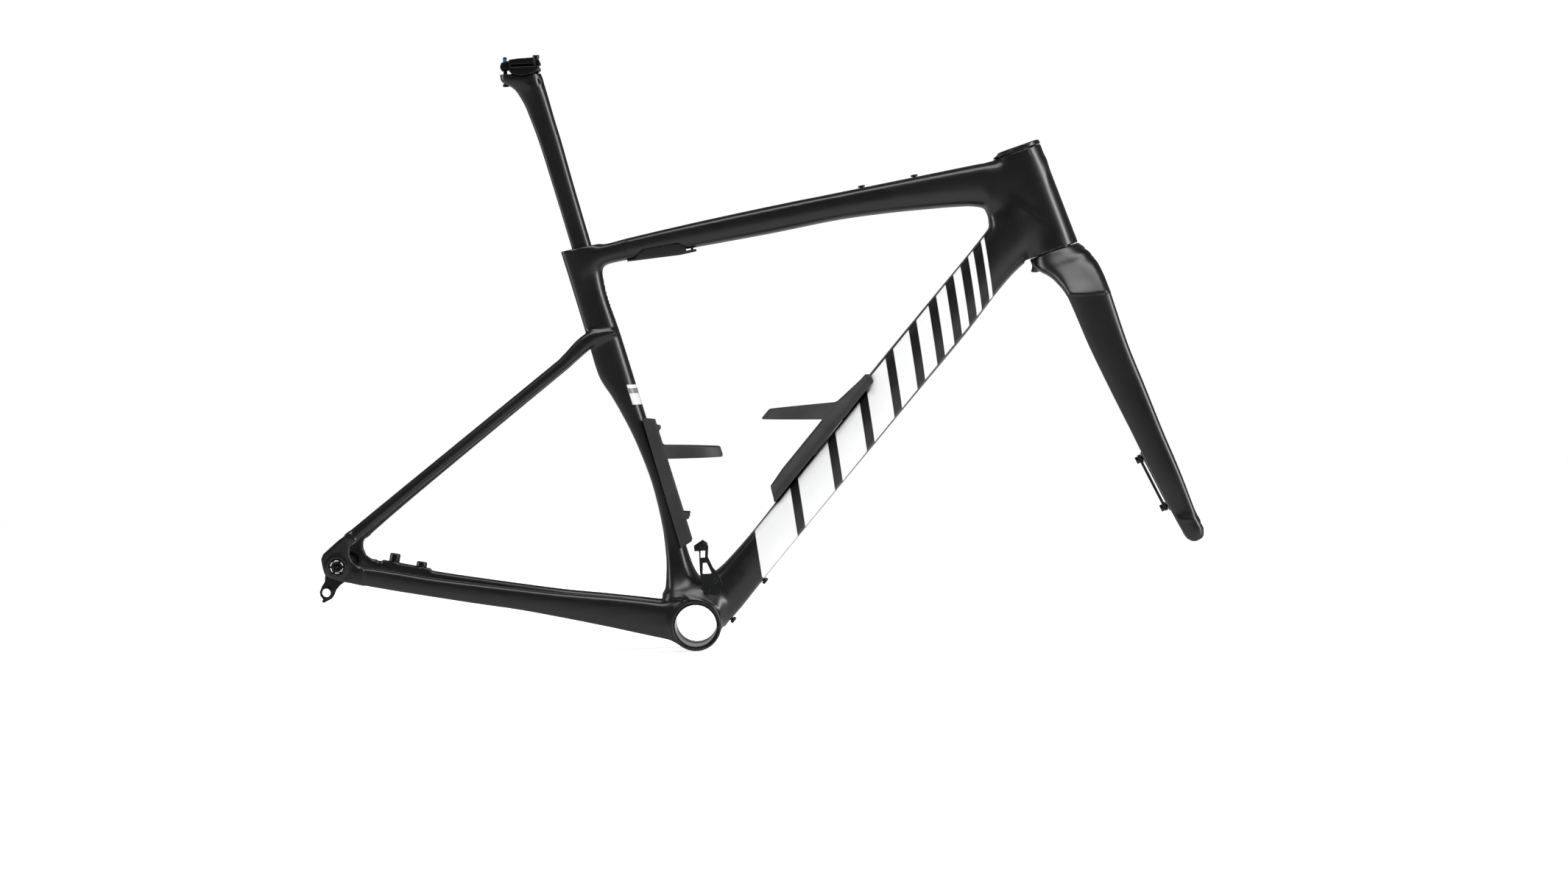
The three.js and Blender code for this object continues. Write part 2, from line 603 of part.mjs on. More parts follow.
function buildSeatpost() {
  const saddleSeat = crossRod(CLAMP_CENTRE.x, CLAMP_CENTRE.z, -30, 30, CLAMP_RADIUS + GAP, 64);
  const post = cut(
    tube(POST_SECTIONS, POST_STYLE),
    tube(POST_SECTIONS.slice(0, 4), POST_STYLE, -WALL, 3),
    saddleSeat,
    rod(point(FRONT_SCREW_X, 0, 612), point(FRONT_SCREW_X, 0, 660), 2.8, 12),
    rod(point(REAR_SCREW_X, 0, 612), point(REAR_SCREW_X, 0, 660), 2.8, 12),
    rod(point(REAR_SCREW_X, 0, 612), point(REAR_SCREW_X, 0, 628.8), 4, 16),
    crossRod(FRONT_SCREW_X, 629, -20, 20, 4.3, 16),
    block(FRONT_SCREW_X - 3.2, FRONT_SCREW_X + 3.2, -5, 5, 629, 660),
  );
  part(frameset, 'seatpost', largest(post), CARBON);

  const barrel = (x, z, radius, half) => cut(
    crossRod(x, z, -half, half, radius, 16),
    rod(point(x, 0, z - 9), point(x, 0, z + 9), 2.5, 12),
  );
  part(frameset, 'front_clamp_nut', barrel(FRONT_SCREW_X, 629, 4, 9), BLACK_ALLOY);
  part(frameset, 'rear_clamp_nut', barrel(REAR_SCREW_X, 648, 3.1, 6), BLACK_ALLOY);

  const front = part(frameset, 'front_clamp_screw', screw(3.9, 4.2, 2.4, 34), BLACK_ALLOY);
  aim(front, point(FRONT_SCREW_X, 0, 656.2), point(0, 0, 1));
  const rear = part(frameset, 'rear_clamp_screw', screw(3.6, 3.2, 2.4, 31), BLACK_ALLOY);
  aim(rear, point(REAR_SCREW_X, 0, 628.5), point(0, 0, -1));

  const railGrooves = [-22, 22].map((y) => rod(point(-215, y, 647.6), point(-130, y, 647.6), 3.6, 16));
  const slots = [FRONT_SCREW_X, REAR_SCREW_X].map((x) => block(x - 4.4, x + 4.4, -3, 3, 630, 672));
  const nutWindow = block(REAR_SCREW_X - 4.9, REAR_SCREW_X + 4.9, -7, 7, 640, 651.8);

  const dish = crossRod(CLAMP_CENTRE.x, CLAMP_CENTRE.z, -26, 26, CLAMP_RADIUS, 64);
  const tiltRoom = block(FRONT_SCREW_X - 5.6, FRONT_SCREW_X + 5.6, -3, 3, 630, 650);
  const cradle = cut(dish.intersect(block(-186.5, -152.5, -26, 26, 635, 646.6)), ...railGrooves, tiltRoom);
  part(frameset, 'saddle_clamp_cradle', largest(cradle), MATTE_BLACK);

  const profile = [
    [-198, 648], [-196.4, 652.6], [-190, 654.2], [-176, 655.7], [-160, 656.2], [-153.4, 655.4], [-151.2, 650],
    [-152.4, 648], [-187.4, 648], [-187.4, 644.4], [-196.6, 643.6],
  ];
  const plateSolid = cut(
    join(plate(profile, -9, 9), plate(profile, -26, 26).intersect(block(-186.5, -158, -26, 26, 640, 660))),
    ...railGrooves,
    ...slots,
    nutWindow,
    block(FRONT_SCREW_X - 5.4, FRONT_SCREW_X + 5.4, -5.4, 5.4, 655.4, 665),
  );
  part(frameset, 'saddle_clamp_plate', largest(plateSolid), MATTE_BLACK);
}

// ---------- headset, in the steering frame ----------
function buildHeadset() {
  part(steered, 'crown_race', ringOf(20, 24, 0.1, 1), STEEL);
  part(steering, 'lower_bearing', ringOf(20, 26, 1.4, 8.6), STEEL);
  part(steering, 'upper_bearing', ringOf(16.4, 23.4, 113.6, 120.4), STEEL);
  part(steered, 'compression_ring', ringOf(STEERER_RADIUS + GAP, 16.1, 114, 121.2), SILVER);
  const lid = tube([
    [-31.4, 122, 25.2, 122, 24.8],
    [-28, 124.2, 25.1, 124.2, 24.6],
    [-25.2, 126, 24.9, 126, 24.4],
    [-24.8, 126.9, 24.3, 126.9, 23.8],
  ], HEAD_STYLE);
  part(steering, 'headset_top_cover', cut(lid, rod(point(0, 0, 110), point(0, 0, 140), 16.6, 28)), CARBON);
  const bore = STEERER_INNER - 0.15;
  const plug = cut(
    join(
      rod(point(0, 0, 92), point(0, 0, 124), bore, 20),
      rod(point(0, 0, 124.4), point(0, 0, 126), STEERER_RADIUS, 24),
      rod(point(0, 0, 123), point(0, 0, 125), 8, 16),
    ),
    rod(point(0, 0, 88), point(0, 0, 130), 3.4, 12),
    rod(point(0, 0, 124.6), point(0, 0, 130), 5.4, 16),
  );
  part(steered, 'steerer_plug', plug, BLACK_ALLOY);
  const bolt = part(steered, 'steerer_plug_bolt', screw(5, 2.2, 3, 26), STEEL);
  bolt.position.z = 124.7;
}

// ---------- fork ----------
const STEERER_INNER = 11.8;
const CROWN_STYLE = { waist: 0.5, lowPower: 2.5, highPower: 2.6, points: 20 };
const seamPoint = (x, drop) => [
  STEER_ORIGIN.x + x * Math.cos(STEER_LEAN) + drop * Math.sin(STEER_LEAN),
  STEER_ORIGIN.z + x * Math.sin(STEER_LEAN) - drop * Math.cos(STEER_LEAN),
];
const CROWN_SECTIONS = [
  [...seamPoint(-28, 0.1), ...seamPoint(28.8, 0.1), 28.4],
  [404.4, 395.2, 463.6, 414.9, 32, 0, 0.5],
  [409, 389.4, 471.4, 409.2, 36, 0, 1],
  [411.4, 387.6, 473.6, 406, 37.4, 0, 1.1],
  [422.5, 381.5, 479.3, 396, 43, 0, 1.8],
  [433.5, 371.5, 485, 380.5, 51, 0, 2.6],
  [441.2, 362.4, 489.8, 363.8, 59, 0, 3.4],
  [442, 360.8, 490.4, 362.4, 59.7, 0, 3.4],
  [442.8, 359, 491.2, 360.4, 59.7, 0, 3.4],
  [444.6, 355, 493.4, 355.6, 59.3, 0, 3.4],
];
const LEG_STYLE = { waist: 0.56, lowPower: 2.7, highPower: 2.3, points: 14 };
const LEG_SECTIONS = [
  // height, rear edge, front edge, half width, sideways position
  [356, 443.8, 493.6, 9.8, 49.7],
  [300, 465.5, 510, 9.2, 51.6],
  [250, 487.3, 528, 8.8, 53],
  [200, 510, 545.7, 8.3, 54.6],
  [150, 532.3, 564.6, 7.9, 56],
  [108, 551.8, 578.8, 7.5, 57],
  [99, 556.2, 582.2, 8.2, 58],
  [88, 561.8, 587, 8.2, 58.2],
  [81, 565.4, 586.6, 7.8, 58.2],
  [77, 569.2, 583, 6.8, 58.2],
  [75.4, 572.6, 579, 5, 58.2],
].map(([z, rear, front, half, y]) => [rear, z, front, z, half, -y]);

function buildFork() {
  const tunnelProfile = [
    [0, 39.6], [262, 39.6], [288, 39.4], [300, 37.5], [316, 31], [328, 24], [WHEEL_CLEARANCE, 16],
  ];
  const loop = [...tunnelProfile, ...tunnelProfile.map(([r, y]) => [r, -y]).reverse()]
    .map(([r, y]) => new THREE.Vector2(r, y));
  const wheel = new THREE.LatheGeometry([...loop, loop[0]], 40);
  const tunnel = solidOf(wheel.translate(FRONT_AXLE.x, 0, FRONT_AXLE.z));
  const spur = plate([[401.5, 402], [404.6, 396], [401.4, 388.2], [413, 386.6], [413, 405]], -9, 9);
  const above = toWorld(block(-80, 60, -70, 70, 0, 60));
  const crown = cut(join(tube(CROWN_SECTIONS, CROWN_STYLE), spur), tunnel, above);
  const steerer = turned([
    [0, -8], [19.7, -8], [19.7, 9], [16.5, 34], [STEERER_RADIUS, 52], [STEERER_RADIUS, 123.6], [0, 123.6],
  ], 28);
  const leg = tube(LEG_SECTIONS, LEG_STYLE);
  const { x, z } = FRONT_AXLE;
  const face = FRONT_SPACING / 2;
  const seat = crossRod(x, z, -face - 6, -face, 10.2);
  const solid = cut(
    join(crown, toWorld(steerer), leg, mirrored(leg), seat, mirrored(seat), placed(brakeSeat, legRear.matrix)),
    toWorld(rod(point(0, 0, -40), point(0, 0, 130), STEERER_INNER, 20)),
    crossRod(x, z, -62.5, -40, 8.3),
    crossRod(x, z, 40, 90, 8.3),
    ...ADAPTER_BOLTS.map((h) => placed(rod(point(-14, 0, h), point(9, 0, h), 2.8, 8), legRear.matrix)),
  );
  part(forkFrame, 'fork', largest(solid), CARBON);

  const insert = cut(
    crossRod(x, z, -62.2, -face - 0.2, 8),
    crossRod(x, z, -59, -40, AXLE_RADIUS + GAP),
  );
  part(forkFrame, 'front_axle_insert', insert, BLACK_ALLOY);
  part(forkFrame, 'front_thru_axle', thruAxle(x, z, 66, -face - 8), BLACK_ALLOY);
}

// Flat-mount adapter behind the left fork leg. Its frame lies on the leg's rear edge: local Z runs down the leg,
// local X points away from it.
const legRear = new THREE.Group();
legRear.position.set(537.6, 56.6, 138.7);
legRear.rotation.y = Math.PI - Math.atan2(551.8 - 532.3, 150 - 108);
forkFrame.add(legRear);
legRear.updateMatrix();
const ADAPTER_BOLTS = [-31.3, 31.3];
const brakeSeat = block(-9, 2.6, -7.4, 7.4, -38, 38);

function buildBrakeAdapter() {
  const solid = cut(
    join(
      block(4.3, 7.4, -7, 7, -35, 35),
      ...ADAPTER_BOLTS.map((h) => rod(point(2.9, 0, h), point(7.4, 0, h), 5, 16)),
    ),
    ...ADAPTER_BOLTS.map((h) => rod(point(0, 0, h), point(9, 0, h), 2.8, 8)),
    block(4, 8, -3.2, 3.2, -22, 22),
  );
  part(legRear, 'front_brake_adapter', solid, BLACK_ALLOY);
  ['adapter_screw_upper', 'adapter_screw_lower'].forEach((name, i) => {
    const place = point(7.7, 0, ADAPTER_BOLTS[i]);
    aim(part(legRear, name, screw(4.2, 3.4, 2.5, 18), BLACK_ALLOY), place, point(1, 0, 0));
  });
}

// ---------- front derailleur hanger ----------
function buildFrontDerailleurHanger() {
  const outline = [
    [1.6, 91], [2, 85], [7, 85], [7, 60], [10, 36], [18, 33], [29, 36], [32, 47], [28, 58], [22, 66], [17, 78],
    [18, 88], [17, 94], [12, 97.6],
  ];
  const windows = [
    [[8.6, 77.2], [13.6, 77.2], [14.2, 85], [9, 85]],
    [[10.2, 58.6], [20.6, 58.6], [15.4, 71], [11, 71]],
  ];
  const solid = cut(
    join(plate(outline, -36.3, -32.8), plate([[1.6, 91], [2, 85], [16.6, 85], [18, 90], [12, 97.6]], -41, -33)),
    ...windows.map((window) => plate(window, -50, -20)),
    crossRod(12, 91, -50, -20, 2.8, 12),
    tube(DOWN_SECTIONS, DOWN_STYLE, GAP),
    tube(SEAT_SECTIONS, SEAT_STYLE, GAP),
    shellBody(GAP),
    ...HANGER_BOLTS.map((b) => screwHole(b.place, b.up, 2, 16)),
  );
  part(frameset, 'front_derailleur_hanger', largest(solid), BLACK_ALLOY);
  ['front_hanger_screw_lower', 'front_hanger_screw_upper'].forEach((name, i) => {
    aim(part(frameset, name, screw(3.6, 2, 2, 9), STEEL), HANGER_BOLTS[i].place, HANGER_BOLTS[i].up);
  });
  aim(part(frameset, 'front_hanger_clamp_screw', screw(3.8, 2, 2.5, 12), STEEL), point(12, -41.3, 91), point(0, -1, 0));
}

// ---------- bottle cages ----------
// A cage in its own frame: local Z along the tube, local X away from it, x = 0 on the tube's face.
// `wall` and `foot` are outlines in the side view. The arms and tabs are parts of a sleeve around the bottle inside
// an outline; the arms are left open in front.
function cageSolid({ wall, drop, arm, opening, foot, tabs, boltsAt }) {
  const axisX = BOTTLE_RADIUS + 2.6;
  const bottle = rod(point(axisX, 0, -60), point(axisX, 0, 400), BOTTLE_RADIUS, 36);
  const sleeve = cut(
    rod(point(axisX, 0, 40), point(axisX, 0, 400), BOTTLE_RADIUS + 2.6, 36),
    bottle,
  );
  const mouth = block(axisX, 140, -opening, opening, -100, 400);
  const arms = cut(sleeve.intersect(plate(arm, -60, 60)), mouth);
  const channel = plate(wall, -24.2, 24.2);
  const hug = block(-drop - 5, -GAP * 2, -21.9, 21.9, -60, 400);
  return cut(
    join(
      cut(channel, bottle, hug),
      arms,
      plate(foot, -9, 9),
      ...tabs.map((outline) => sleeve.intersect(plate(outline, -40, 40))),
    ),
    ...boltsAt.map((z) => rod(point(-9, 0, z), point(9, 0, z), 2.8, 12)),
    block(-9, 30, -12, 12, boltsAt[0] + 10, boltsAt[1] - 10),
  );
}

function buildCage(name, turn, settings, tubeSolid) {
  const { boltsAt } = settings;
  const solid = largest(cut(cageSolid(settings), placed(tubeSolid, frameOf(turn).invert())));
  const tubeFrame = new THREE.Group();
  tubeFrame.position.copy(turn.place);
  tubeFrame.rotation.y = turn.lean;
  const facing = new THREE.Group();
  facing.rotation.z = turn.facing;
  tubeFrame.add(facing);
  frameset.add(tubeFrame);
  part(facing, name, solid, NYLON);
  boltsAt.forEach((z, i) => {
    const bolt = part(facing, `${name}_bolt_${i + 1}`, screw(4.2, 2.4, 2.5, 8), STEEL);
    aim(bolt, point(3.1, 0, z), point(1, 0, 0));
  });
}

const SEAT_LEAN = Math.atan(SEAT_TUBE_SLOPE);
const SEAT_CAGE = {
  wall: [[-4.2, 92.4], [7.8, 97], [7.8, 243], [-1.8, 247.5], [-4.2, 247.5]],
  drop: 4.2,
  arm: [[-5, 199.4], [80, 176.4], [80, 188], [-5, 216.4]],
  opening: 22.5,
  foot: [[0.4, 94.6], [20.6, 100.8], [20.6, 102.2], [5, 104.4], [0.4, 101]],
  tabs: [
    [[2, 132.2], [2, 122.4], [9.2, 122.6], [14.5, 128.4]],
    [[2, 240], [2, 227], [7, 227], [11.8, 231], [11.8, 234.5]],
  ],
  boltsAt: [126, 190],
};
const DOWN_WALL = [
  [0, 165.5], [15, 176], [17, 200], [17, 300], [11.8, 338], [11.6, 345.6], [7.5, 348.6], [0, 345],
];
const DOWN_CAGE = {
  wall: DOWN_WALL,
  drop: 0,
  arm: [[-5, 292.8], [80, 223.6], [80, 237.5], [-5, 321.6]],
  opening: 20,
  foot: [[0.4, 165.6], [22, 176.4], [21.2, 179], [14, 177], [0.4, 170]],
  tabs: [DOWN_WALL],
  boltsAt: [226, 290],
};

const seatFrame = {
  place: point(SEAT_TUBE_FRONT, 0, 0),
  lean: -SEAT_LEAN,
  facing: 0,
};
const downFrame = {
  place: point(-18 * Math.cos(DOWN_TUBE_LEAN), 0, 18 * Math.sin(DOWN_TUBE_LEAN)),
  lean: DOWN_TUBE_LEAN,
  facing: Math.PI,
};
const frameOf = ({ place, lean, facing }) => new THREE.Matrix4()
  .makeTranslation(place)
  .multiply(turnedTo(lean))
  .multiply(new THREE.Matrix4().makeRotationZ(facing));
const onTube = (turn, x, z) => point(x, 0, z).applyMatrix4(frameOf(turn));
const cageBolts = (turn, boltsAt) => boltsAt.map((z) => ({
  place: onTube(turn, 0, z),
  up: onTube(turn, 1, z).sub(onTube(turn, 0, z)),
}));
const SEAT_CAGE_BOLTS = cageBolts(seatFrame, SEAT_CAGE.boltsAt);
const DOWN_CAGE_BOLTS = cageBolts(downFrame, DOWN_CAGE.boltsAt);

// ---------- build ----------
buildBottomBracket();
buildHeadTube();
buildTopTube();
buildDownTube();
buildSeatTube();
buildRearTriangle();
buildSeatClamp();
buildSeatpost();
buildHeadset();
buildFork();
buildBrakeAdapter();
buildFrontDerailleurHanger();
buildCage('seat_tube_cage', seatFrame, SEAT_CAGE, tube(SEAT_SECTIONS, SEAT_STYLE, GAP));
buildCage('down_tube_cage', downFrame, DOWN_CAGE, tube(DOWN_SECTIONS, DOWN_STYLE, GAP));

TOP_BOLTS.forEach(({ place, up }, i) => {
  aim(part(frameset, `top_tube_bolt_${i + 1}`, screw(4, 2.4, 2.5, 7), STEEL), place, up);
});
UNDER_BOLTS.forEach(({ place, up }, i) => {
  aim(part(frameset, `cable_guide_bolt_${i + 1}`, screw(4, 3.6, 2.5, 7), BLACK_ALLOY), place, up);
});
BRAKE_BOLTS.forEach(({ place, up }, i) => {
  const bolt = part(frameset, `rear_brake_bolt_${i + 1}`, screw(5.4, i ? 5.4 : 9.4, 2.5, 20), BLACK_ALLOY);
  aim(bolt, place.clone().addScaledVector(up, 0.5), up);
});

// Everything above is laid out from the bottom bracket. The finished model stands on its lowest point, with
// its origin under the middle of its box.
const bounds = new THREE.Box3().setFromObject(frameset);
frameset.position.set(-bounds.getCenter(point()).x, 0, -bounds.min.z);

export default frameset;
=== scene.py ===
import json
import math

import bpy
import numpy as np
import openvdb
from mathutils import Matrix, Vector


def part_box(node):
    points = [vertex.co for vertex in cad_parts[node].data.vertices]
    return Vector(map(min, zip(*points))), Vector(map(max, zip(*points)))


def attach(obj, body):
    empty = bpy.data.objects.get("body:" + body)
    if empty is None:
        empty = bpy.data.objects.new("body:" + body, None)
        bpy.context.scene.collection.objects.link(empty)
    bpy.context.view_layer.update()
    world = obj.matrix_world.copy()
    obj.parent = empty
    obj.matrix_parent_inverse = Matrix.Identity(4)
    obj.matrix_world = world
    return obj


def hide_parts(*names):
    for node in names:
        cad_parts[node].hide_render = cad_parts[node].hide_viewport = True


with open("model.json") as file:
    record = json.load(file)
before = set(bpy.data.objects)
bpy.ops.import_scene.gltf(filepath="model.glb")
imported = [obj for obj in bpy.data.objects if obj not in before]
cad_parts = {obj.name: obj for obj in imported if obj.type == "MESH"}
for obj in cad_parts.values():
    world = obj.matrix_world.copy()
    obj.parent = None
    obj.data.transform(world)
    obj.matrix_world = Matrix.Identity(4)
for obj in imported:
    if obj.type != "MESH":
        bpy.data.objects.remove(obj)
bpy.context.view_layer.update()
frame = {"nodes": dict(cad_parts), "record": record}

# Shapes are drawn in millimetres from the middle of the bottom bracket: +X forward, +Y left, +Z up.
MM = 0.001
_low, _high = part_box("bottom_bracket_sleeve")
ORIGIN = (_low + _high) / 2
GAP = 0.3

BODY_OF = {node: body for body, nodes in frame["record"]["behaviour"]["bodies"].items() for node in nodes}
SLOT_OF = {part["node"]: part["material_slot"] for part in frame["record"]["subparts"]}

STEER_LEAN = math.radians(17)
STEERED = math.radians(-5)
STEERING = Matrix.Translation((429.5, 0, 411.5)) @ Matrix.Rotation(-STEER_LEAN, 4, "Y")
FORK_TURN = STEERING @ Matrix.Rotation(STEERED, 4, "Z") @ STEERING.inverted()
HEAD_LENGTH = 121.5
DOWN_LEAN = math.radians(41.5)
SEAT_FRONT, SEAT_SLOPE = 16.1, 0.265  # front line of the seat tube: x at the origin, fall of x with z
REAR_AXLE = (-402, 86.4)
FRONT_AXLE = (575.5, 86.5)


# ---------- signed distance fields ----------
def smooth_max(a, b, blend):
    if blend <= 0:
        return np.maximum(a, b)
    h = np.maximum(blend - np.abs(a - b), 0) / blend
    return np.maximum(a, b) + h * h * blend / 4


class Shape:
    """A solid given by its box and a function of x, y and z that returns the distance to its surface."""

    def __init__(self, low, high, distance):
        self.low, self.high, self.distance = np.array(low, float), np.array(high, float), distance

    def on(self, field, window):
        return np.clip(self.distance(*field.grid(window)), -field.far, field.far).astype(np.float32)


class Tube(Shape):
    """A solid given by a closed mesh."""

    def __init__(self, points, quads, triangles):
        self.points, self.quads, self.triangles = points, quads, triangles
        self.low, self.high = points.min(0), points.max(0)

    def on(self, field, window):
        grid = openvdb.FloatGrid.createLevelSetFromPolygons(
            self.points.astype(np.float32), triangles=self.triangles, quads=self.quads,
            transform=openvdb.createLinearTransform(voxelSize=field.voxel),
            halfWidth=field.far / field.voxel)
        values = np.empty([w.stop - w.start for w in window], np.float32)
        grid.copyToArray(values, ijk=tuple(int(w.start + o) for w, o in zip(window, field.low)))
        return np.clip(values, -field.far, field.far)


class Mix(Shape):
    """One solid combined with another: 'add', 'cut' or 'keep' (the common part)."""

    def __init__(self, first, second, how, blend=0.0):
        self.first, self.second, self.how, self.blend = first, second, how, blend
        self.low, self.high = first.low, first.high
        if how == "add":
            self.low = np.minimum(first.low, second.low)
            self.high = np.maximum(first.high, second.high)

    def on(self, field, window):
        a, b = self.first.on(field, window), self.second.on(field, window)
        if self.how == "add":
            return -smooth_max(-a, -b, self.blend)
        return smooth_max(a, -b if self.how == "cut" else b, self.blend)


class Field:
    """A solid on a regular grid. Shapes are added to it and cut from it, then it becomes a mesh.
    Distances are kept up to `far` from a surface, which is also the widest blend."""

    def __init__(self, low, high, voxel, far=3.0):
        self.voxel, self.far = voxel, far
        self.low = np.floor(np.array(low) / voxel).astype(int)
        size = np.ceil(np.array(high) / voxel).astype(int) - self.low
        self.values = np.full(tuple(size), far, np.float32)

    def window(self, shape):
        first = np.floor((shape.low - self.far) / self.voxel)
        last = np.ceil((shape.high + self.far) / self.voxel) + 1
        ends = (np.clip(v.astype(int) - self.low, 0, self.values.shape) for v in (first, last))
        return tuple(slice(int(a), int(b)) for a, b in zip(*ends))

    def grid(self, window):
        ranges = [(np.arange(w.start, w.stop) + o) * self.voxel for w, o in zip(window, self.low)]
        return np.meshgrid(*ranges, indexing="ij", sparse=True)

    def add(self, shape, blend=0.0):
        window = self.window(shape)
        self.values[window] = -smooth_max(-self.values[window], -shape.on(self, window), blend)
        return self

    def cut(self, shape, blend=0.0):
        window = self.window(shape)
        self.values[window] = smooth_max(self.values[window], -shape.on(self, window), blend)
        return self

    def sample(self, points):
        at = points / self.voxel - self.low
        cell = np.clip(np.floor(at).astype(int), 0, np.array(self.values.shape) - 2)
        f = at - cell
        total = np.zeros(len(points))
        for corner in np.ndindex(2, 2, 2):
            weight = np.prod(np.where(corner, f, 1 - f), axis=1)
            total += weight * self.values[tuple((cell + corner).T)]
        return total

    def slopes(self, points):
        step = np.eye(3) * self.voxel
        slope = np.stack([self.sample(points + e) - self.sample(points - e) for e in step], axis=1)
        return slope / np.maximum(np.linalg.norm(slope, axis=1, keepdims=True), 1e-9)

    def mesh(self, adaptivity=0.0):
        grid = openvdb.FloatGrid(self.far)
        grid.copyFromArray(self.values, ijk=tuple(int(v) for v in self.low), tolerance=0.0)
        grid.transform = openvdb.createLinearTransform(voxelSize=self.voxel)
        points, triangles, quads = grid.convertToPolygons(0.0, adaptivity)
        points = points.astype(float)
        for _ in range(2):
            points -= self.sample(points)[:, None] * self.slopes(points)
        return points, [triangles, quads], self.slopes(points)


def apart(*terms):
    """Distance to the common part of several slabs, with true distances outside its edges."""
    terms = np.broadcast_arrays(*terms)
    outside = np.sqrt(sum(np.maximum(t, 0) ** 2 for t in terms))
    return np.minimum(np.maximum.reduce(terms), 0) + outside


def block(x0, x1, y0, y1, z0, z1, edge=0.0):
    half = np.array([x1 - x0, y1 - y0, z1 - z0]) / 2 - edge
    centre = np.array([x1 + x0, y1 + y0, z1 + z0]) / 2
    distance = lambda *p: apart(*[abs(v - c) - h for v, c, h in zip(p, centre, half)]) - edge
    return Shape((x0, y0, z0), (x1, y1, z1), distance)


def rod(start, end, radius, end_radius=None, edge=0.0):
    start, end = np.array(start, float), np.array(end, float)
    length = np.linalg.norm(end - start)
    axis = (end - start) / length
    last = radius if end_radius is None else end_radius

    def distance(x, y, z):
        dx, dy, dz = x - start[0], y - start[1], z - start[2]
        along = dx * axis[0] + dy * axis[1] + dz * axis[2]
        across = np.sqrt(np.maximum(dx ** 2 + dy ** 2 + dz ** 2 - along ** 2, 0))
        side = across - (radius + (last - radius) * np.clip(along / length, 0, 1)) + edge
        return apart(side, abs(along - length / 2) - length / 2 + edge) - edge

    widest = max(radius, last) * np.sqrt(np.maximum(1 - axis ** 2, 0))
    return Shape(np.minimum(start, end) - widest, np.maximum(start, end) + widest, distance)


def cross_rod(x, z, y0, y1, radius, edge=0.0):
    return rod((x, y0, z), (x, y1, z), radius, edge=edge)


def outline_distance(corners, x, z):
    """Signed distance from points to a polygon in the side view."""
    nearest, inside = np.inf, np.zeros(np.broadcast(x, z).shape, bool)
    for (ax, az), (bx, bz) in zip(corners, corners[1:] + corners[:1]):
        ex, ez = bx - ax, bz - az
        t = np.clip(((x - ax) * ex + (z - az) * ez) / (ex * ex + ez * ez), 0, 1)
        nearest = np.minimum(nearest, (x - ax - ex * t) ** 2 + (z - az - ez * t) ** 2)
        if ez != 0:
            crosses = ((az > z) != (bz > z)) & (x < ex * (z - az) / ez + ax)
            inside = inside ^ crosses
    return np.sqrt(nearest) * np.where(inside, -1, 1)


def plate(corners, y0, y1, edge=0.0):
    """An outline in the side view given thickness, with its rims rounded."""
    corners = [tuple(map(float, c)) for c in corners]
    xs, zs = zip(*corners)

    def distance(x, y, z):
        flat = outline_distance(corners, x, z)
        return apart(flat + edge, abs(y - (y0 + y1) / 2) - (y1 - y0) / 2 + edge) - edge

    return Shape((min(xs), y0, min(zs)), (max(xs), y1, max(zs)), distance)


def moved(shape, matrix):
    """A shape drawn in a turned frame."""
    inverse = np.array(matrix.inverted())
    ends = (shape.low, shape.high)
    corners = np.array([[ends[i][0], ends[j][1], ends[k][2], 1] for i, j, k in np.ndindex(2, 2, 2)])
    corners = corners @ np.array(matrix).T

    def distance(x, y, z):
        return shape.distance(*[r[0] * x + r[1] * y + r[2] * z + r[3] for r in inverse[:3]])

    return Shape(corners[:, :3].min(0), corners[:, :3].max(0), distance)


def steering_rod(z0, z1, radius, end_radius=None):
    return moved(rod((0, 0, z0), (0, 0, z1), radius, end_radius), STEERING)


def mirrored(shape):
    if isinstance(shape, Tube):
        return Tube(shape.points * (1, -1, 1), shape.quads, shape.triangles)
    if isinstance(shape, Mix):
        return Mix(mirrored(shape.first), mirrored(shape.second), shape.how, shape.blend)
    low, high = shape.low * (1, -1, 1), shape.high * (1, -1, 1)
    return Shape(np.minimum(low, high), np.maximum(low, high), lambda x, y, z: shape.distance(x, -y, z))


# ---------- tubes through sections ----------
# A section is (low x, low z, high x, high z, half width, sideways position, how much squarer).
# A style is (waist, power of the lower half, power of the upper half).
AROUND_TUBE = 80


def through(stations, values, at):
    """A smooth curve through the values that never overshoots them."""
    run = np.diff(stations)[:, None]
    slope = np.diff(values, axis=0) / run
    tangent = np.zeros_like(values)
    w1, w2 = 2 * run[1:] + run[:-1], run[1:] + 2 * run[:-1]
    with np.errstate(divide="ignore", invalid="ignore"):
        mean = (w1 + w2) / (w1 / slope[:-1] + w2 / slope[1:])
    tangent[1:-1] = np.where(slope[:-1] * slope[1:] > 0, mean, 0)
    tangent[0], tangent[-1] = slope[0], slope[-1]
    i = np.clip(np.searchsorted(stations, at, "right") - 1, 0, len(stations) - 2)
    h = run[i]
    t = (at - stations[i])[:, None] / h
    return ((1 + 2 * t) * (1 - t) ** 2 * values[i] + t * (1 - t) ** 2 * h * tangent[i]
            + t * t * (3 - 2 * t) * values[i + 1] + t * t * (t - 1) * h * tangent[i + 1])


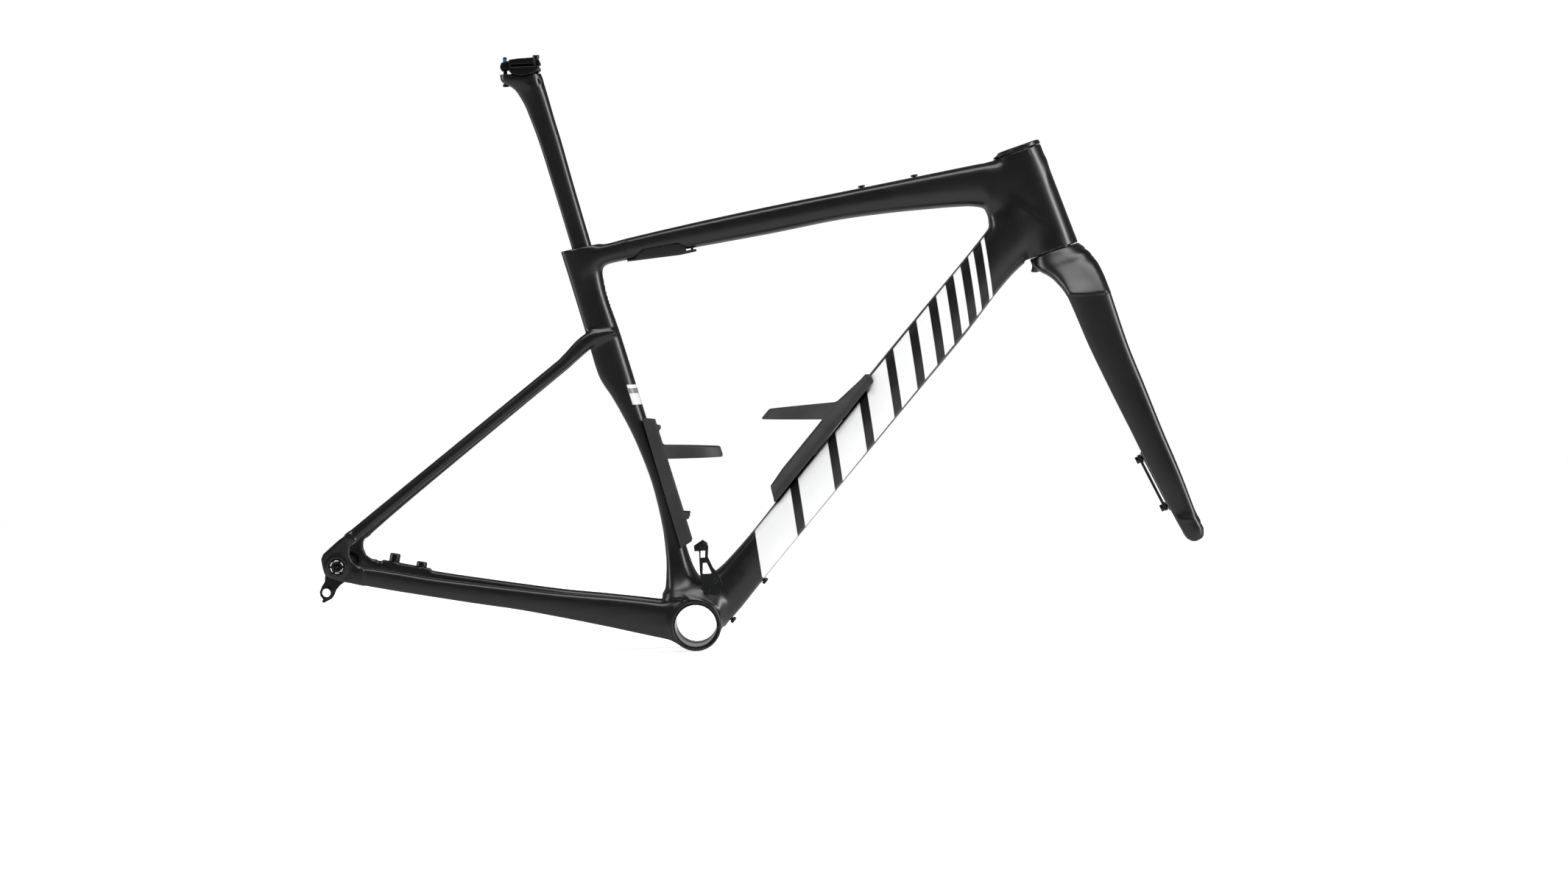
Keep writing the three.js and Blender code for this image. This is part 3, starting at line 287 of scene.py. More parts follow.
def tube(sections, style, grow=0.0, spacing=3.0):
    rows = np.array([list(s) + [0.0] * (7 - len(s)) for s in sections], float)
    middle = np.column_stack([(rows[:, 0:2] + rows[:, 2:4]) / 2, rows[:, 5]])
    stations = np.concatenate([[0], np.cumsum(np.linalg.norm(np.diff(middle, axis=0), axis=1))])
    rows = through(stations, rows, np.linspace(0, stations[-1], int(stations[-1] / spacing) + 2))
    waist, low_power, high_power = style
    low = rows[:, [0, 5, 1]]
    up = rows[:, [2, 5, 3]] - low
    span = np.linalg.norm(up, axis=1, keepdims=True)
    up = up / span
    angle = np.linspace(0, 2 * np.pi, AROUND_TUBE, endpoint=False)
    c, s = np.cos(angle), np.sin(angle)
    power = 2 / (np.where(c > 0, high_power, low_power) + rows[:, 6:7])
    rise = np.sign(c) * (span * np.where(c > 0, 1 - waist, waist) + grow) * abs(c) ** power
    side = np.sign(s) * (rows[:, 4:5] + grow) * abs(s) ** power
    rings = (low + up * span * waist)[:, None] + up[:, None] * rise[..., None]
    rings[..., 1] += side
    points, (quads, fans) = capped(rings.reshape(-1, 3), skin(len(rings), AROUND_TUBE), AROUND_TUBE)
    return Tube(points, quads.astype(np.uint32), fans.astype(np.uint32))


def skin(rings, around, loop=False):
    """Quads between rings of points; a loop joins the last ring back to the first."""
    index = np.arange(rings * around).reshape(rings, around)
    if loop:
        index = np.concatenate([index, index[:1]])
    following = np.roll(index, -1, axis=1)
    return np.stack([index[:-1], following[:-1], following[1:], index[1:]], axis=-1).reshape(-1, 4)


def capped(points, quads, around):
    """Closes the first and last ring with fans."""
    first, last = np.arange(around), np.arange(around) + len(points) - around
    centres = np.stack([points[first].mean(0), points[last].mean(0)])
    n = len(points)
    fans = [np.column_stack([np.full(around, n), np.roll(first, -1), first]),
            np.column_stack([np.full(around, n + 1), last, np.roll(last, -1)])]
    return np.concatenate([points, centres]), [quads, np.concatenate(fans)]


def moved_tube(shape, matrix):
    m = np.array(matrix)
    return Tube(shape.points @ m[:3, :3].T + m[:3, 3], shape.quads, shape.triangles)


# ---------- meshes ----------
def linked(name, data):
    obj = bpy.data.objects.new(name, data)
    bpy.context.scene.collection.objects.link(obj)
    return obj


def piece(name, points, faces, node, normals=None, place=Matrix(), also=(), sharp=35):
    """Makes an object from points in millimetres, which stands for its CAD nodes and has their finish."""
    m = np.array(place)
    world = (points @ m[:3, :3].T + m[:3, 3]) * MM + np.array(ORIGIN)
    mesh = bpy.data.meshes.new(name)
    faces = [np.asarray(f) for f in faces if len(f)]
    fans = np.concatenate([f[:, [0, i, i + 1]] for f in faces for i in range(1, f.shape[1] - 1)])
    a, b, c = (points[fans[:, i]] for i in range(3))
    if np.einsum("ij,ij->i", a, np.cross(b, c)).sum() < 0:  # the faces look inward
        faces = [f[:, ::-1] for f in faces]
    loops = np.concatenate([f.ravel() for f in faces]).astype(np.int32)
    sizes = np.concatenate([np.full(len(f), f.shape[1]) for f in faces])
    starts = np.concatenate([[0], np.cumsum(sizes)[:-1]]).astype(np.int32)
    mesh.vertices.add(len(world))
    mesh.vertices.foreach_set("co", world.astype(np.float32).ravel())
    mesh.loops.add(len(loops))
    mesh.loops.foreach_set("vertex_index", loops)
    mesh.polygons.add(len(sizes))
    mesh.polygons.foreach_set("loop_start", starts)
    mesh.update(calc_edges=True)
    mesh.validate()
    mesh.shade_smooth()
    if normals is None:
        mesh.set_sharp_from_angle(angle=math.radians(sharp))
    else:
        mesh.normals_split_custom_set_from_vertices((normals @ m[:3, :3].T).astype(np.float32))
    mesh.materials.append(BY_SLOT[SLOT_OF[node]])
    obj = linked(name, mesh)
    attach(obj, BODY_OF[node])
    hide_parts(node, *also)
    return obj


def moulded(name, field, node, place=Matrix(), also=(), adaptivity=0.0):
    points, faces, normals = field.mesh(adaptivity)
    return piece(name, points, faces, node, normals, place, also)


def lathe(rings, around=60, loop=False):
    """A solid turned about Z through rings (z, radius) or (z, half across flats, 'hex').
    It is a loop for a piece with a hole through it, and otherwise its ends are closed."""
    angle = np.linspace(0, 2 * np.pi, around, endpoint=False)
    hexagon = 1 / np.cos((angle % (math.pi / 3)) - math.pi / 6)
    rows = []
    for z, radius, *shape in rings:
        radius = radius * (hexagon if shape else np.ones(around))
        rows.append(np.column_stack([radius * np.cos(angle), radius * np.sin(angle), np.full(around, z)]))
    points, quads = np.concatenate(rows), skin(len(rows), around, loop)
    return (points, [quads]) if loop else capped(points, quads, around)


def turned_frame(node):
    """The centre and axis of a turned CAD piece, and the height and radius of each of its vertices."""
    mesh = frame["nodes"][node].data
    points = np.array([v.co for v in mesh.vertices]) / MM - np.array(ORIGIN) / MM
    normals = np.array([p.normal for p in mesh.polygons])
    areas = np.array([p.area for p in mesh.polygons])
    spread = (normals * areas[:, None]).T @ normals
    values, vectors = np.linalg.eigh(spread)
    odd = 0 if values[1] - values[0] > values[2] - values[1] else 2
    axis = vectors[:, odd]
    centre = (points.min(0) + points.max(0)) / 2
    for _ in range(3):
        height = (points - centre) @ axis
        rings = points - centre - height[:, None] * axis
        far = np.linalg.norm(rings, axis=1)
        outer = rings[far > far.max() * 0.5]
        centre = centre + (outer.min(0) + outer.max(0)) / 2
    height = (points - centre) @ axis
    radius = np.linalg.norm(points - centre - height[:, None] * axis, axis=1)
    return centre, axis, height, radius


def place_of(centre, axis):
    turn = Vector((0, 0, 1)).rotation_difference(Vector(axis)).to_matrix().to_4x4()
    return Matrix.Translation(Vector(centre)) @ turn


def repaint(obj, material, chosen):
    """Gives a second material to the faces whose middle, in millimetres, is chosen."""
    obj.data.materials.append(material)
    for polygon in obj.data.polygons:
        polygon.material_index = int(chosen(*((polygon.center - ORIGIN) / MM)))


def screw(node, tip_material=None, swell=1.0):
    """A socket-head screw with a rolled thread in the place of a CAD screw."""
    centre, axis, height, radius = turned_frame(node)
    head = radius.max()
    wide = height[radius > head * 0.97]
    if wide.mean() < (height.min() + height.max()) / 2:
        axis, height, wide = -axis, -height, -wide
    top, seat, tip = wide.max(), wide.min(), height.min()
    shank = np.median(radius[np.abs(height - tip) < 0.05])
    head *= swell
    tall, hexagon = top - seat, head * 0.46
    rings = [(tip, shank * 0.4), (tip + 0.05, shank * 0.62), (tip + 0.7, shank * 0.96)]
    pitch = 0.8
    for k in range(int((seat - tip - 1.6) / pitch)):
        z = tip + 0.8 + k * pitch
        rings += [(z, shank * 0.88), (z + pitch / 2, shank)]
    rings += [(seat - 0.7, shank * 0.94), (seat, shank * 0.94), (seat, head - 0.25), (seat + 0.25, head)]
    rings += [(top - tall * 0.2, head), (top - tall * 0.08, head * 0.955), (top, head * 0.87)]
    rings += [(top, hexagon * 1.22), (top - 0.35, hexagon, "hex"), (top - tall * 0.66, hexagon, "hex")]
    rings += [(top - tall * 0.7, hexagon * 0.5)]
    obj = piece(node + "_detail", *lathe(rings), node, place=place_of(centre, axis), sharp=30)
    if tip_material:
        painted = lambda *p: tip + 1.9 < np.dot(np.array(p) - centre, axis) < tip + 6.5
        repaint(obj, tip_material, painted)


def ring(node):
    """A plain turned ring with broken edges in the place of a CAD ring."""
    centre, axis, height, radius = turned_frame(node)
    outer, inner = radius.max(), radius.min()
    low, high = height.min(), height.max()
    c = min(0.4, (outer - inner) / 3, (high - low) / 3)
    d = c * 0.3
    rings = [(low, inner + c), (low, outer - c), (low + d, outer - d), (low + c, outer), (high - c, outer),
             (high - d, outer - d), (high, outer - c), (high, inner + c), (high - d, inner + d),
             (high - c, inner), ((low + high) / 2, inner), (low + c, inner), (low + d, inner + d)]
    return piece(node + "_detail", *lathe(rings, 96, loop=True), node, place=place_of(centre, axis))


# ---------- materials ----------
class Nodes:
    """A short way to write a material's node tree."""

    def __init__(self, name):
        self.material = bpy.data.materials.new(name)
        self.material.use_nodes = True
        self.tree = self.material.node_tree
        self.shader = self.tree.nodes["Principled BSDF"]
        self.place = self.add("ShaderNodeTexCoord").outputs["Object"]

    def add(self, kind, **values):
        node = self.tree.nodes.new(kind)
        for key, value in values.items():
            if hasattr(node, key):
                setattr(node, key, value)
            else:
                self.plug(node.inputs[key.replace("_", " ")], value)
        return node

    def plug(self, socket, value):
        if isinstance(value, bpy.types.NodeSocket):
            self.tree.links.new(value, socket)
        else:
            socket.default_value = value

    def math(self, operation, a, b=0.0):
        node = self.add("ShaderNodeMath", operation=operation)
        for socket, value in zip(node.inputs, (a, b)):
            self.plug(socket, value)
        return node.outputs[0]

    def noise(self, scale, detail=4.0, roughness=0.55, stretch=None):
        place = self.place
        if stretch:
            mapping = self.add("ShaderNodeMapping")
            self.plug(mapping.inputs["Vector"], place)
            mapping.inputs["Scale"].default_value = stretch
            place = mapping.outputs[0]
        node = self.add("ShaderNodeTexNoise", Scale=scale, Detail=detail, Roughness=roughness)
        self.plug(node.inputs["Vector"], place)
        return node.outputs["Fac"]

    def ramp(self, factor, low, high, a, b):
        """Maps factor from low..high to a..b."""
        node = self.add("ShaderNodeMapRange")
        for socket, value in zip(node.inputs, (factor, low, high, a, b)):
            self.plug(socket, value)
        return node.outputs[0]

    def mix(self, factor, a, b):
        node = self.add("ShaderNodeMix", data_type="RGBA")
        for index, value in ((0, factor), (6, a), (7, b)):
            self.plug(node.inputs[index], value)
        return node.outputs[2]

    def bump(self, height, strength, distance):
        node = self.add("ShaderNodeBump")
        self.plug(node.inputs["Height"], height)
        node.inputs["Strength"].default_value = strength
        node.inputs["Distance"].default_value = distance * MM
        return node.outputs[0]

    def set(self, **values):
        names = {"color": "Base Color", "specular": "Specular IOR Level"}
        for key, value in values.items():
            self.plug(self.shader.inputs[names.get(key, key.title())], value)
        return self.material

    def millimetres(self):
        """x, y and z of the shaded point, measured from the bottom bracket."""
        away = self.add("ShaderNodeVectorMath", operation="SUBTRACT")
        self.plug(away.inputs[0], self.place)
        away.inputs[1].default_value = ORIGIN
        scaled = self.add("ShaderNodeVectorMath", operation="SCALE")
        self.plug(scaled.inputs[0], away.outputs[0])
        scaled.inputs["Scale"].default_value = 1 / MM
        split = self.add("ShaderNodeSeparateXYZ")
        self.plug(split.inputs[0], scaled.outputs[0])
        return split.outputs


def grey(value, tint=0.0):
    return (value, value * (1 + tint * 0.4), value * (1 + tint), 1)


def satin(name):
    """Black carbon under a satin clear coat: faint orange peel, haze and dust."""
    n = Nodes(name)
    cloud = n.noise(14, 5)
    fine = n.noise(900, 2)
    peel = n.noise(420, 2, 0.4)
    colour = n.mix(n.ramp(cloud, 0.35, 0.65, 0, 1), grey(0.0036, 0.04), grey(0.0052, 0.02))
    speck = n.ramp(n.noise(2600, 1), 0.70, 0.78, 0, 0.35)
    colour = n.mix(speck, colour, grey(0.05))
    rough = n.math("ADD", n.ramp(cloud, 0.3, 0.7, 0.29, 0.35), n.ramp(fine, 0.3, 0.7, -0.03, 0.03))
    n.set(color=colour, roughness=rough, specular=0.42, normal=n.bump(peel, 0.05, 0.12))
    return n, colour, rough


def decal(n, colour, rough):
    """Slanted white blocks on the sides of the down tube, and a blank label on the seat tube."""
    x, y, z = n.millimetres()
    sin, cos = math.sin(DOWN_LEAN), math.cos(DOWN_LEAN)
    along = n.math("ADD", n.math("MULTIPLY", x, sin), n.math("MULTIPLY", z, cos))
    off = n.math("SUBTRACT", n.math("MULTIPLY", z, sin), n.math("MULTIPLY", x, cos))
    slanted = n.math("ADD", along, n.math("MULTIPLY", off, DECAL_SLANT))

    def inside(value, low, high, soft=0.35):
        a = n.ramp(value, low - soft, low + soft, 0, 1)
        b = n.ramp(value, high - soft, high + soft, 1, 0)
        return n.math("MULTIPLY", a, b)

    mask = 0.0
    for start, end, high in DECAL_BLOCKS:
        bar = n.math("MULTIPLY", inside(slanted, start, end), inside(off, DECAL_LOW, high))
        mask = n.math("MAXIMUM", mask, bar)
    side = n.ramp(n.math("ABSOLUTE", y), 6, 9, 0, 1)
    mask = n.math("MULTIPLY", mask, side)
    mask = n.math("MULTIPLY", mask, inside(along, *DECAL_REACH))
    paint = n.mix(n.noise(30, 4), grey(0.76, 0.01), grey(0.82, 0.01))
    colour = n.mix(mask, colour, paint)
    rough = n.math("ADD", rough, n.math("MULTIPLY", mask, 0.06))
    front = n.math("ADD", x, n.math("MULTIPLY", z, SEAT_SLOPE))
    label = n.math("MULTIPLY", inside(z, *LABEL_HEIGHT), inside(front, *LABEL_SPAN))
    label = n.math("MULTIPLY", label, n.ramp(y, -3, -2, 1, 0))
    band = n.math("MULTIPLY", label, inside(z, *LABEL_BAND))
    colour = n.mix(label, colour, grey(0.62))
    colour = n.mix(band, colour, grey(0.16))
    n.set(color=colour, roughness=rough)


def metal(name, dark, light, rough, grain=(1, 1, 1), metallic=1.0):
    n = Nodes(name)
    lines = n.noise(500, 3, 0.6, grain)
    cloud = n.noise(60, 4)
    colour = n.mix(n.ramp(cloud, 0.3, 0.7, 0, 1), dark, light)
    rough = n.ramp(lines, 0.25, 0.75, rough - 0.07, rough + 0.1)
    return n.set(color=colour, metallic=metallic, roughness=rough, normal=n.bump(lines, 0.12, 0.05))


def moulding(name, dark, light, rough, grain=1400.0):
    n = Nodes(name)
    pits = n.add("ShaderNodeTexVoronoi", Scale=grain)
    n.plug(pits.inputs["Vector"], n.place)
    cloud = n.noise(35, 5)
    colour = n.mix(n.ramp(cloud, 0.3, 0.7, 0, 1), dark, light)
    return n.set(color=colour, roughness=n.ramp(cloud, 0.3, 0.7, rough - 0.05, rough + 0.05), specular=0.35,
                 normal=n.bump(pits.outputs["Distance"], 0.35, 0.10))


DECAL_SLANT = -0.9
DECAL_REACH = (90, 560)
DECAL_LOW = -27
DECAL_BLOCKS = [
    # start and end along the tube, upper limit across it
    (112, 176, 15.5), (190, 244, 15.5), (258, 302, 15.5), (316, 352, 24), (366, 394, 24), (408, 430, 24),
    (444, 461, 24), (475, 488, 24), (502, 511, 24), (525, 531, 24),
]
LABEL_HEIGHT, LABEL_SPAN = (255, 278), (5.5, 30)
LABEL_BAND = (268, 274)

_shell = satin("satin_black_frame")
decal(*_shell)
FRAME_PAINT = _shell[0].material
ALLOY = metal("black_anodised", grey(0.014, 0.1), grey(0.022, 0.1), 0.34, metallic=0.9)
SILVER = metal("machined_silver", grey(0.70), grey(0.82), 0.28, grain=(1, 6, 1))
THREADLOCK = moulding("thread_lock", (0.02, 0.09, 0.25, 1), (0.03, 0.14, 0.35, 1), 0.45)
BY_SLOT = {
    "carbon": satin("satin_black")[0].material,
    "cage_nylon": moulding("moulded_nylon", grey(0.022), grey(0.032), 0.55),
    "cover_rubber": moulding("matte_cover", grey(0.011), grey(0.016), 0.6, grain=2200.0),
    "black_alloy": ALLOY,
    "silver_alloy": SILVER,
    "bearing_steel": metal("ground_steel", grey(0.42), grey(0.55), 0.25, grain=(1, 1, 8)),
    "black_screws": metal("black_oxide", grey(0.02, 0.05), grey(0.04, 0.05), 0.3),
}
for _name, _node in frame["nodes"].items():
    _node.data.materials.clear()
    _node.data.materials.append(BY_SLOT[SLOT_OF[_name]])

# ---------- outlines of the tubes ----------
SHELL_HALF = 43.25
HEAD_STYLE = (0.52, 2.6, 2.2)
HEAD_SECTIONS = [(-28, GAP, 28.8, GAP, 28.4), (-28, 45, 27.4, 45, 26.2),
                 (-27, HEAD_LENGTH, 25.1, HEAD_LENGTH, 25.2)]

TOP_STYLE = (0.6, 2.6, 3.6)
TOP_SECTIONS = [
    (-112, 404, -112, 438, 16.5), (-85, 417, -85, 440.8, 17), (-60, 421.5, -60, 446.2, 17.5),
    (0, 430, 0, 457.6, 18.5), (100, 444, 100, 475, 19.5), (200, 459, 200, 491, 20.5),
    (270, 464.3, 270, 502.2, 21.5), (330, 466.5, 330, 511.8, 23), (350, 463.5, 350, 515, 24),
    (359, 447, 359, 516.5, 24.6), (396, 440, 396, 521, 24), (420, 446, 420, 515, 15),
]

DOWN_STYLE = (0.56, 2.5, 4)
DOWN_STATIONS = [
    # distance from the origin, upper offset, lower offset, half width
    (20, 36, 27, 41), (32, 33, 28, 36), (46, 27, 28.6, 31.5), (64, 20.5, 28.5, 28.5), (90, 17.7, 28.2, 26),
    (200, 17.7, 28.2, 24.5), (324, 17.7, 29.2, 24.5), (334, 18.2, 29.2, 24.5), (344, 25, 29.3, 24.5),
    (356, 26.3, 29.4, 24.5), (368, 26.3, 29.5, 24.5), (450, 25.8, 30.3, 24.2),
    (540, 25.4, 28.8, 25), (570, 26, 32.5, 25.4), (606, 27, 33, 25.4),
]


def down_point(along, off):
    sin, cos = math.sin(DOWN_LEAN), math.cos(DOWN_LEAN)
    return along * sin - off * cos, along * cos + off * sin


DOWN_SECTIONS = [(*down_point(s, -down), *down_point(s, up), half) for s, up, down, half in DOWN_STATIONS]

SEAT_STYLE = (0.45, 4, 2.3)
seat_front = lambda z: SEAT_FRONT - SEAT_SLOPE * z
SEAT_SECTIONS = [(rear, z, front, z, half) for z, rear, front, half in [
    (32.3, -36, 24, 39), (42, -34, 14, 33), (55, -32.5, 5, 26.5), (72, -31.5, -2.5, 21.5),
    (95, -32.5, seat_front(95), 18.5), (150, -41, seat_front(150), 17), (210, -60, seat_front(210), 16.5),
    (262, -84.5, seat_front(262), 16.2), (288, -99.5, seat_front(288), 16),
    (330, -110.5, seat_front(330), 15.8), (400, -128.6, seat_front(400), 15.6), (450, -142, -96, 16)]]

POST_STYLE = (0.42, 4, 2.2)
post_front = lambda z: 9.6 - 0.253 * z
POST_SECTIONS = [(front - depth, z, front, z, half) for z, front, depth, half in [
    (300, post_front(300), 24.2, 10.2), (512, post_front(512), 24.2, 10.2), (565, -132.6, 26, 10.4),
    (588, -138.6, 27.6, 10.8), (602, -142, 29.2, 11.4), (612, -144.4, 31.8, 12.2),
    (620, -146.4, 34.8, 13.2), (625.5, -147.8, 39.4, 14.4), (629, -148.7, 45.6, 15.2),
    (633, -149.6, 48.3, 15.8), (639, -151.6, 46.8, 16)]]
POST_BORE = [(post_front(z) - 24.2, z, post_front(z), z, 10.2) for z in (250, 470)]

STAY_STYLE = (0.5, 3, 3.4)
STAY_SECTIONS = [(x, low, x, high, half, -y) for x, low, high, half, y in [
    (-16, -19, 24, 11.2, 32), (-60, -8, 31.3, 9, 31.5), (-100, 2.5, 37, 8.5, 33.5),
    (-150, 15, 43.5, 8.5, 38), (-200, 27, 51.5, 8, 46), (-250, 37, 60, 7.5, 54), (-300, 47.5, 69, 7, 62),
    (-350, 58.5, 80, 6.5, 71.5), (-374, 64.5, 84, 6, 77), (-383, 68, 82, 4.5, 78.6)]]

UPPER_STYLE = (0.5, 2.6, 2.6)
UPPER_SECTIONS = [(lx, lz, hx, hz, half, -y) for lx, lz, hx, hz, half, y in [
    (-383, 111.4, -391, 122.4, 4.6, 77.6), (-379, 114.5, -387, 125.5, 5.2, 77),
    (-352, 136, -359.5, 146.5, 5.2, 71), (-250, 213.5, -257.4, 224, 5.8, 47),
    (-140, 296, -147.4, 307.5, 6.2, 22.5), (-96, 329, -103, 341, 6.2, 13.5), (-78, 337, -81, 341.5, 3, 13)]]

PEDESTAL = [(-28, 0, 28.6, 0, SHELL_HALF), (-31, 16, 32, 16, 42.6), (-34, 25, 33, 25, 39.5),
            (-35, 35, 30, 35, 33)]
DROPOUT = [
    (-373, 64.6), (-373, 84.6), (-379, 86.6), (-384.5, 91), (-387.6, 99), (-387.4, 106), (-384.6, 111.5),
    (-379.4, 115.2), (-386.6, 124.7), (-400, 115.6), (-417, 101.5), (-419.5, 96), (-418.5, 88),
    (-416.5, 79), (-410, 73.5), (-402, 71), (-393, 68.5),
]
HUB_FACE, DROPOUT_FACE, HANGER_SEAT = 71, 83, 75.3
SLEEVE_BORE, NUT_BORE, AXLE_BORE = 25.5, 9.3, 8.3
HEAD_BORES = ((-5, 9.5, 26.3), (9, 112.5, 22.5), (112, 132, 23.7))  # from, to, radius
pad_top = lambda x: 84.5 - 0.21 * (x + 364)
POCKET = [(-52, 400), (-52, 424), (-44, 432), (-3, 438), (6, 433), (6, 400)]


# ---------- the frame ----------
def build_frame():
    x, z = REAR_AXLE
    shell = Field((-425, -88, -32), (472, 88, 540), SHELL_VOXEL, far=10.5)
    shell.add(moved_tube(tube(HEAD_SECTIONS, HEAD_STYLE), STEERING))
    shell.add(tube(DOWN_SECTIONS, DOWN_STYLE), 10)
    shell.add(tube(TOP_SECTIONS, TOP_STYLE), 10)
    shell.add(cross_rod(369, 447, -18, 18, 9, edge=4), 9)
    slant = plate([(-175, 427.6), (-60, 446.8), (-60, 520), (-175, 520)], -40, 40)
    shell.add(Mix(tube(SEAT_SECTIONS, SEAT_STYLE), slant, "cut", 0.6), 9)
    bracket = Mix(cross_rod(0, 0, -SHELL_HALF, SHELL_HALF, 29, edge=1.2),
                  tube(PEDESTAL, (0.5, 5, 5)), "add", 3)
    shell.add(bracket, 10)
    lower, upper = tube(STAY_SECTIONS, STAY_STYLE), tube(UPPER_SECTIONS, UPPER_STYLE)
    shell.add(lower, 8).add(upper, 5).add(mirrored(lower), 8).add(mirrored(upper), 5)
    shell.cut(plate([(-175, 427.4), (-60, 446.6), (10, 459.8), (10, 520), (-175, 520)], -40, 40), 0.8)
    flank = block(-210, -62, 16.9, 40, 380, 480)
    shell.cut(flank, 2.5).cut(mirrored(flank), 2.5)
    right, left = (Mix(plate(DROPOUT, -DROPOUT_FACE, -face, edge=1.4),
                       cross_rod(x, z, -DROPOUT_FACE - 0.8, -face, radius, edge=0.4), "add", 1.5)
                   for face, radius in ((HANGER_SEAT, 12), (HUB_FACE, 14.5)))
    shell.add(right, 4).add(mirrored(left), 4)
    pad = plate([(-366, 66), (-365, pad_top(-365)), (-308, pad_top(-308)), (-308, 62)], 56, 84)
    seat = tube([(-366, 60, -366, 90, 5.6, 75.4), (-308, 50, -308, 80, 5.6, 63.8)], (0.5, 6, 6))
    shell.add(Mix(pad, seat, "keep", 1.5), 3)
    for bolt_x in (-351.5, -319.5):
        top = Vector((bolt_x, 2.2 - 0.2 * bolt_x, pad_top(bolt_x)))
        shell.add(rod(top, top - Vector((0.21, 0, 1)).normalized() * 14, 6.6), 1.5)

    shell.cut(cross_rod(0, 0, -60, 60, SLEEVE_BORE), 0.5)
    shell.cut(cross_rod(x, z, -95, -60, NUT_BORE), 0.4)
    shell.cut(cross_rod(x, z, 60, 95, AXLE_BORE), 0.4)
    for z0, z1, radius in HEAD_BORES:
        shell.cut(steering_rod(z0, z1, radius))
    shell.cut(steering_rod(-60, GAP, 37), 0.8)
    shell.cut(moved(block(-45, 60, -60, 60, HEAD_LENGTH, 200), STEERING), 0.8)
    shell.cut(tube(POST_BORE, POST_STYLE, grow=0.35), 0.8)
    shell.cut(plate(POCKET, -30, 30), 1.2)
    shell.cut(block(-106, -76, -7.8, 7.8, 423, 435.4))
    shell.cut(rod((-80, 0, 429.6), (-40, 0, 435.7), 5.4))
    others = ("head_tube", "top_tube", "seat_tube", "bottom_bracket_shell", "chainstay_right",
              "chainstay_left", "seatstay_right", "seatstay_left", "dropout_right", "dropout_left")
    body = moulded("frame_shell", shell, "down_tube", also=others, adaptivity=ADAPTIVITY)
    body.data.materials[0] = FRAME_PAINT


SHELL_VOXEL = 1.25
ADAPTIVITY = 0.03


# ---------- fork ----------
CROWN_STYLE = (0.5, 2.5, 2.6)
LEG_STYLE = (0.56, 2.7, 2.3)


def seam_point(x, drop):
    p = STEERING @ Vector((x, 0, -drop))
    return p.x, p.z


CROWN_SECTIONS = [
    (*seam_point(-28, 0.1), *seam_point(28.8, 0.1), 28.4), (404.4, 395.2, 463.6, 414.9, 32, 0, 0.5),
    (409, 389.4, 471.4, 409.2, 36, 0, 1), (411.4, 387.6, 473.6, 406, 37.4, 0, 1.1),
    (422.5, 381.5, 480.3, 396, 43, 0, 2.2), (432.9, 371.5, 486.8, 380.5, 51, 0, 3.6),
    (440, 362.4, 492, 363.8, 59, 0, 5), (440.8, 360.8, 492.6, 362.4, 59.7, 0, 5),
    (441.4, 359.4, 493, 361, 59.5, 0, 5),
]
LEG_SECTIONS = [(rear, z, front, z, half, -y) for z, rear, front, half, y in [
    (361.8, 441.2, 491.9, 9.8, 49.6), (356, 443.8, 493.6, 9.8, 49.7), (300, 465.5, 510, 9.2, 51.6),
    (250, 487.3, 528, 8.8, 53), (200, 510, 545.7, 8.3, 54.6), (150, 532.3, 564.6, 7.9, 56),
    (108, 551.8, 578.8, 7.1, 57), (100.6, 555.4, 581.6, 8.9, 57.6), (98.8, 556.3, 582.3, 8.1, 58),
    (88, 561.8, 587, 8.1, 58.2), (81, 565.4, 586.6, 7.8, 58.2), (77, 569.2, 583, 6.8, 58.2),
    (75.4, 572.6, 579, 5, 58.2)]]
LEG_LEAN = math.pi - math.atan2(19.5, 42)
LEG_REAR = Matrix.Translation((537.6, 56.6, 138.7)) @ Matrix.Rotation(LEG_LEAN, 4, "Y")
ADAPTER_BOLTS = (-31.3, 31.3)


def wheel_tunnel():
    """The space for the wheel: turned about the front axle, wide at the hub and narrow at the rim."""
    x0, z0 = FRONT_AXLE
    profile = [(0, 39.6), (262, 39.6), (288, 39.4), (300, 37.5), (316, 31), (328, 24), (343, 16)]
    corners = [*profile, *[(r, -y) for r, y in reversed(profile)]]

    def distance(x, y, z):
        return outline_distance(corners, np.sqrt((x - x0) ** 2 + (z - z0) ** 2), y + 0 * x)

    return Shape((x0 - 343, -39.6, z0 - 343), (x0 + 343, 39.6, z0 + 343), distance)


def build_fork():
    x, z = FRONT_AXLE
    shell = Field((392, -72, 68), (598, 72, 540), SHELL_VOXEL, far=6)
    above = moved(block(-80, 60, -70, 70, 0, 60), STEERING)
    spur = plate([(401.5, 402), (404.6, 396), (401.4, 388.2), (416, 384), (416, 405)], -9, 9, edge=1)
    crown = Mix(tube(CROWN_SECTIONS, CROWN_STYLE), spur, "add", 4)
    shell.add(Mix(crown, above, "cut", 0.6))
    shell.cut(wheel_tunnel(), 5)
    leg, boss = tube(LEG_SECTIONS, LEG_STYLE), cross_rod(x, z, -56, -50, 10.2, edge=0.4)
    shell.add(leg, 1.2).add(boss, 2).add(mirrored(leg), 1.2).add(mirrored(boss), 2)
    shell.add(moved(block(-9, 2.6, -7.4, 7.4, -38, 38, edge=1), LEG_REAR), 3)
    for z0, z1, low, high in ((-8, 9, 19.7, 19.7), (9, 34, 19.7, 16.5), (34, 52, 16.5, 14.3),
                              (52, 123.6, 14.3, 14.3)):
        shell.add(steering_rod(z0, z1, low, high))
    shell.cut(steering_rod(-40, 130, 11.8))
    shell.cut(cross_rod(x, z, -62.5, -40, AXLE_BORE), 0.3)
    shell.cut(cross_rod(x, z, 40, 90, AXLE_BORE), 0.3)
    moulded("fork_shell", shell, "fork", place=FORK_TURN)


